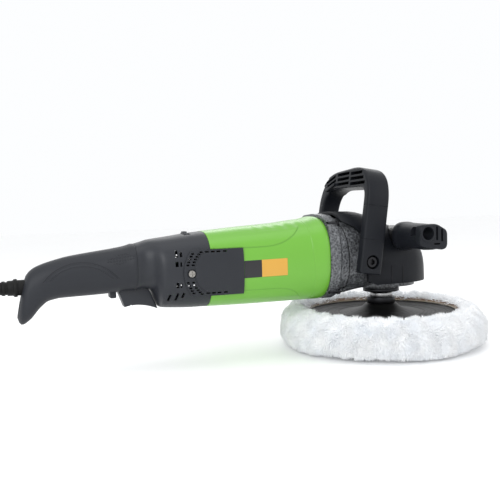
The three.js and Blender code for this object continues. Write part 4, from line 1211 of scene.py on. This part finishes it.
def make_backing_pad(material):
    """A moulded rubber disc with fine turned rings and a flared hub."""
    profile = [(84, PAD_BOTTOM), (88.5, PAD_BOTTOM + 4), (90, PAD_TOP - 6), (89.4, PAD_TOP - 2),
               (87, PAD_TOP)]
    for ring in range(9):
        radius = 80 - ring * 4
        for inward, depth in ((0, 0), (0.6, 0.45), (1.4, 0.45), (2, 0)):
            profile.append((radius - inward, PAD_TOP - depth))
    profile += [(radius, PAD_TOP + rise) for radius, rise in (
        (42, 0.1), (36, 0.9), (31, 2), (26, 3.6), (22, 5.2), (19, 7.2), (17.4, 9), (16.6, 9.4), (16.2, 9.7))]
    pad = turned("backing_pad_disc", profile, "z", sides=112)
    pad.cut(rod("nut_hole", 11.3, (0, 0, PAD_TOP - 6.3), (0, 0, 60), 48))
    pad.done(material, "spindle_group", "rubber", "backing_pad", angle=30)


CLOTH_FRAMES = 16


def bonnet_core():
    """The bonnet without its pile: a thick ring that wraps the pad's rim, closed underneath."""
    profile = [(60, 2.6), (97, 2.6), (104, 5.5), (106, 12), (106.4, 21), (105.8, 29), (103.6, 35.4),
               (99.6, 39.4), (95, 40.4), (90.5, 40), (86.5, 39), (83.2, PAD_TOP + 1.2), (83.6, PAD_TOP + 0.5),
               (90.5, PAD_TOP + 0.4), (90.6, PAD_BOTTOM - 0.5), (60, PAD_BOTTOM - 0.5)]
    return turned("bonnet_core", profile, "z", sides=96)


def swell(core):
    """Let the padding press the cover outwards, with cloth simulation, and keep what touches the pad.

    The wool has packed unevenly, so one side of the rim then stands higher."""
    core.modify("REMESH", mode="VOXEL", voxel_size=0.0045)
    rest = [vertex.co.copy() for vertex in core.thing.data.vertices]
    take(core.thing)
    cloth = core.thing.modifiers.new("cloth", "CLOTH")
    cloth.settings.quality = 5
    cloth.settings.use_pressure = True
    cloth.settings.uniform_pressure_force = 4
    cloth.settings.effector_weights.gravity = 0
    cloth.point_cache.frame_start, cloth.point_cache.frame_end = 1, CLOTH_FRAMES
    for number in range(1, CLOTH_FRAMES + 1):
        bpy.context.scene.frame_set(number)
    bpy.ops.object.modifier_apply(modifier="cloth")
    bpy.context.scene.frame_set(1)
    for vertex, start in zip(core.thing.data.vertices, rest):
        shift = vertex.co - start
        free = clamped((math.hypot(start.x, start.y) / MM - 91.5) / 4)
        reach = min(shift.length, 3.0 * MM) * free
        vertex.co = start + (shift.normalized() * reach if shift.length > 0 else shift)
        vertex.co.z = max(vertex.co.z, 2.0 * MM)
    for vertex in core.thing.data.vertices:
        place = vertex.co / MM
        lifted = clamped((place.z - 22) / 16) * clamped((math.hypot(place.x, place.y) - 86) / 8)
        vertex.co.z += 5 * MM * lifted * clamped((place.y + 70) / 90)
    core.modify("SUBSURF", levels=1, render_levels=1)
    return core


def strand_mesh(core, name, count, seed):
    """Soft pile: thin tapered three-sided strands that follow the surface outwards in loose locks."""
    shuffle = random.Random(seed)
    data = core.thing.data
    sources, weights = [], []
    for face in data.polygons:
        middle, normal = face.center / MM, face.normal
        radius = math.hypot(middle.x, middle.y)
        if radius < 84 or (middle.z < PAD_TOP + 1.5 and radius < 92) or normal.z < -0.8:
            continue
        sources.append(face)
        weights.append(face.area * (1.0 if normal.z > -0.3 else 0.6))
    points, faces = [], []

    def place(point, along):
        """Keep a strand's point off the table and inside the bonnet's outline."""
        spread = math.hypot(point.x, point.y)
        reach = min(1.0, BONNET_REACH * MM / spread)
        points.append((point.x * reach, point.y * reach, max(point.z, (0.7 + 1.2 * along) * MM)))

    for face in shuffle.choices(sources, weights, k=count):
        first, second, third, last = [data.vertices[index].co for index in face.vertices]
        a, b = shuffle.random(), shuffle.random()
        root = (first * (1 - a) + second * a) * (1 - b) + (last * (1 - a) + third * a) * b
        normal = face.normal
        outward = Vector((root.x, root.y, 0)).normalized()
        lock = Vector([math.sin(root.x * 310 + root.z * 190 + 1.3),
                       math.sin(root.y * 290 + root.z * 230 + 4.1),
                       math.sin((root.x - root.y) * 240 + 2.2)])
        wild = Vector([shuffle.gauss(0, 1) for _ in range(3)])
        top = clamped((root.z / MM - 32) / 8)
        inner = clamped((97 - math.hypot(root.x, root.y) / MM) / 8) * top
        way = (normal + lock * 0.22 + wild * 0.2 + Vector((0, 0, -0.12)) * (1 - top)
               + outward * (0.1 - 0.3 * inner)).normalized()
        under = max(0.0, -normal.z)
        length = (7 + 2.4 * shuffle.random()) * (1 - 0.6 * under) * (1 - 0.2 * top) * MM
        half = (0.3 + 0.16 * shuffle.random()) * MM
        across = way.cross(Vector((0.3, 0.2, 1))).normalized()
        up = across.cross(way)
        droop = Vector((0, 0, -1)) * length * 0.12 + lock * length * 0.14
        start = len(points)
        waist = root + way * length * 0.55 + droop * 0.3
        for centre, scale, along in ((root - way * 1.2 * MM, 1.0, 0.0), (waist, 0.85, 0.55)):
            for k in range(3):
                side, rise = around(1, 2 * math.pi * k / 3)
                place(centre + (across * side + up * rise) * half * scale, along)
        place(root + way * length + droop, 1.0)
        for k in range(3):
            after = (k + 1) % 3
            faces.append((start + k, start + after, start + 3 + after, start + 3 + k))
            faces.append((start + 3 + k, start + 3 + after, start + 6))
    mesh = bpy.data.meshes.new(name)
    mesh.from_pydata(points, [], faces)
    mesh.shade_smooth()
    return into_scene(name, mesh)


def make_bonnet(core_material, pile_material, hide, string):
    core = swell(bonnet_core())
    for seed in (7, 19):
        pile = strand_mesh(core, f"bonnet_pile_{seed}", 20000, seed)
        pile.data.materials.append(pile_material)
        label(pile, "spindle_group")
    core.done(core_material, "spindle_group", "wool", "bonnet_wool", angle=60)
    profile = [(81.2, 36.7), (81.4, 37), (83.2, 38.6), (86.6, 40.4), (88, 40.6), (88, 40), (86.8, 39.6),
               (83.8, 37.8), (83.2, 36.7)]
    lining = turned("bonnet_hide_lining", profile, "z", sides=96)
    lining.remove_faces(lambda middle, normal: math.hypot(middle.x, middle.y) < 60)
    lining.wall(0.5)
    lining.done(hide, "spindle_group", "hide", "bonnet_hide")
    calm()
    bpy.ops.mesh.primitive_torus_add(major_radius=STRING_RADIUS * MM, minor_radius=0.8 * MM,
                                     major_segments=128, minor_segments=10, location=(0, 0, 37.2 * MM))
    loop = Piece("drawstring_loop")
    loop.done(string, "spindle_group", "string", "bonnet_drawstring")


# ---------------------------------------------------------------- everything else

def dress(node, material):
    """A better finish on a CAD part whose shape is right."""
    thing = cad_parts[node]
    thing.data.materials.clear()
    thing.data.materials.append(material)


def make_floor():
    calm()
    bpy.ops.mesh.primitive_plane_add(size=8, location=(0, 0, -0.0002))
    floor = Piece("floor").thing
    finish = Finish("pale_floor")
    tone = finish.noise(4, 2)
    finish.colour(tone.mixed(rgb(0.97, 0.97, 0.97), rgb(0.99, 0.99, 0.99)))
    finish.rough(tone * 0.1 + 0.7)
    floor.data.materials.append(finish.material)


place_camera()
light_studio()
make_floor()

sheath = cord_sheath()
soft_rubber = rubber("soft_rubber", 0.008, 0.5)
cord = make_cord(sheath)
plug_pieces = make_plug(sheath)
make_cord_guard(soft_rubber)
tie = make_coil_tie(plain_part("hook_and_loop", (0.01, 0.01, 0.012), (0.03, 0.03, 0.035), 0.8, 1400))
tuple(metres(LEAD_POINTS[0]))

green = green_plastic()
# The shade values are painted light: the rear shell, handle and brush cover are painted lighter as lit, the
# side grip, loop and head cover darker as painted shade
black = black_plastic("black_plastic", shade=1.25, shine=0.4)
side_grip_black = black_plastic("side_grip_plastic", shade=0.8, rough=0.46, shine=0.2)
grip_black = black_plastic("handle_plastic", 1300, 1.1, 0.5, handle_marks)
smooth_black = black_plastic("smooth_black_plastic", 1900, 1.15, marks=cover_marks)
loop_black = black_plastic("loop_plastic", shade=0.7, marks=loop_marks, shine=0.18)
cover_black = black_plastic("head_cover_plastic", shade=0.65, marks=head_marks, shine=0.16)
paint = hammertone()
bright_steel = turned_steel("plated_steel", (0.36, 0.345, 0.32), 0.3, "y")
spindle_steel = turned_steel("spindle_steel", (0.42, 0.42, 0.42), 0.26, "z")
dark_steel = turned_steel("blackened_steel", (0.035, 0.035, 0.038), 0.34, "y")
gear_steel = turned_steel("gear_steel", (0.22, 0.215, 0.21), 0.34, "z")

make_motor_shell(green)
make_rear_shell(black)
make_brush_cover(smooth_black)
make_handle(grip_black)
make_trigger(black)
for name, side in SIDES:
    make_side_screw(f"cover_screw_{name}", side, bright_steel)
for number in (1, 2):
    make_side_screw(f"handle_screw_{number}", 1, bright_steel)
make_head(paint, cover_black, dark_steel)
make_loop(loop_black, dark_steel)
make_side_grip(side_grip_black)
make_backing_pad(rubber("pad_rubber", 0.007, 0.44, rings=True))
# the core's colours are darker and cooler than the pile's: painted shade in the depths under the strands
make_bonnet(lambswool("wool_core", (0.84, 0.87, 0.9), (0.93, 0.94, 0.95), core=True),
            lambswool("wool_pile", (0.87, 0.9, 0.94), (0.98, 0.98, 0.98)), tanned_hide(), woven_string())

for node, width, material, slot, body in (
        ("lock_on_button", 0.8, soft_rubber, "rubber", "lock_on"),
        ("speed_dial", 0.25, black, "black_shell", "dial"),
        ("spindle_lock_button", 0.8, black, "black_shell", "spindle_lock"),
        ("spindle", 0.35, spindle_steel, "steel", "spindle_group"),
        ("bearing_retainer", 0.5, dark_steel, "dark_steel", "tool"),
        ("pad_nut", 0.5, dark_steel, "dark_steel", "spindle_group")):
    refined(node + "_piece", node, width).done(material, body, slot, node)

carbon = plain_part("carbon", (0.008, 0.008, 0.009), (0.03, 0.03, 0.032), 0.5, 900)
brass = plain_part("pressed_brass", (0.42, 0.27, 0.08), (0.68, 0.48, 0.18), 0.25, 300, 1.0)
bearing_steel = turned_steel("bearing_steel", (0.6, 0.6, 0.6), 0.25, "x")
for material, nodes in (
        (laminations(), ("armature_core", "stator_core")),
        (winding(), ("armature_winding", "field_coil_right", "field_coil_left")),
        (commutator_bars(), ("commutator",)), (circuit_board(), ("control_board",)),
        (black, ("fan", "cord_clamp")), (smooth_black, ("switch_body",)),
        (carbon, ("carbon_brush_right", "carbon_brush_left")),
        (brass, ("brush_holder_right", "brush_holder_left")),
        (spindle_steel, ("lower_bearing", "upper_bearing")),
        (bearing_steel, ("front_bearing", "rear_bearing", "armature_shaft")),
        (bright_steel, ("grip_stud",)), (gear_steel, ("crown_gear", "pinion"))):
    for node in nodes:
        dress(node, material)
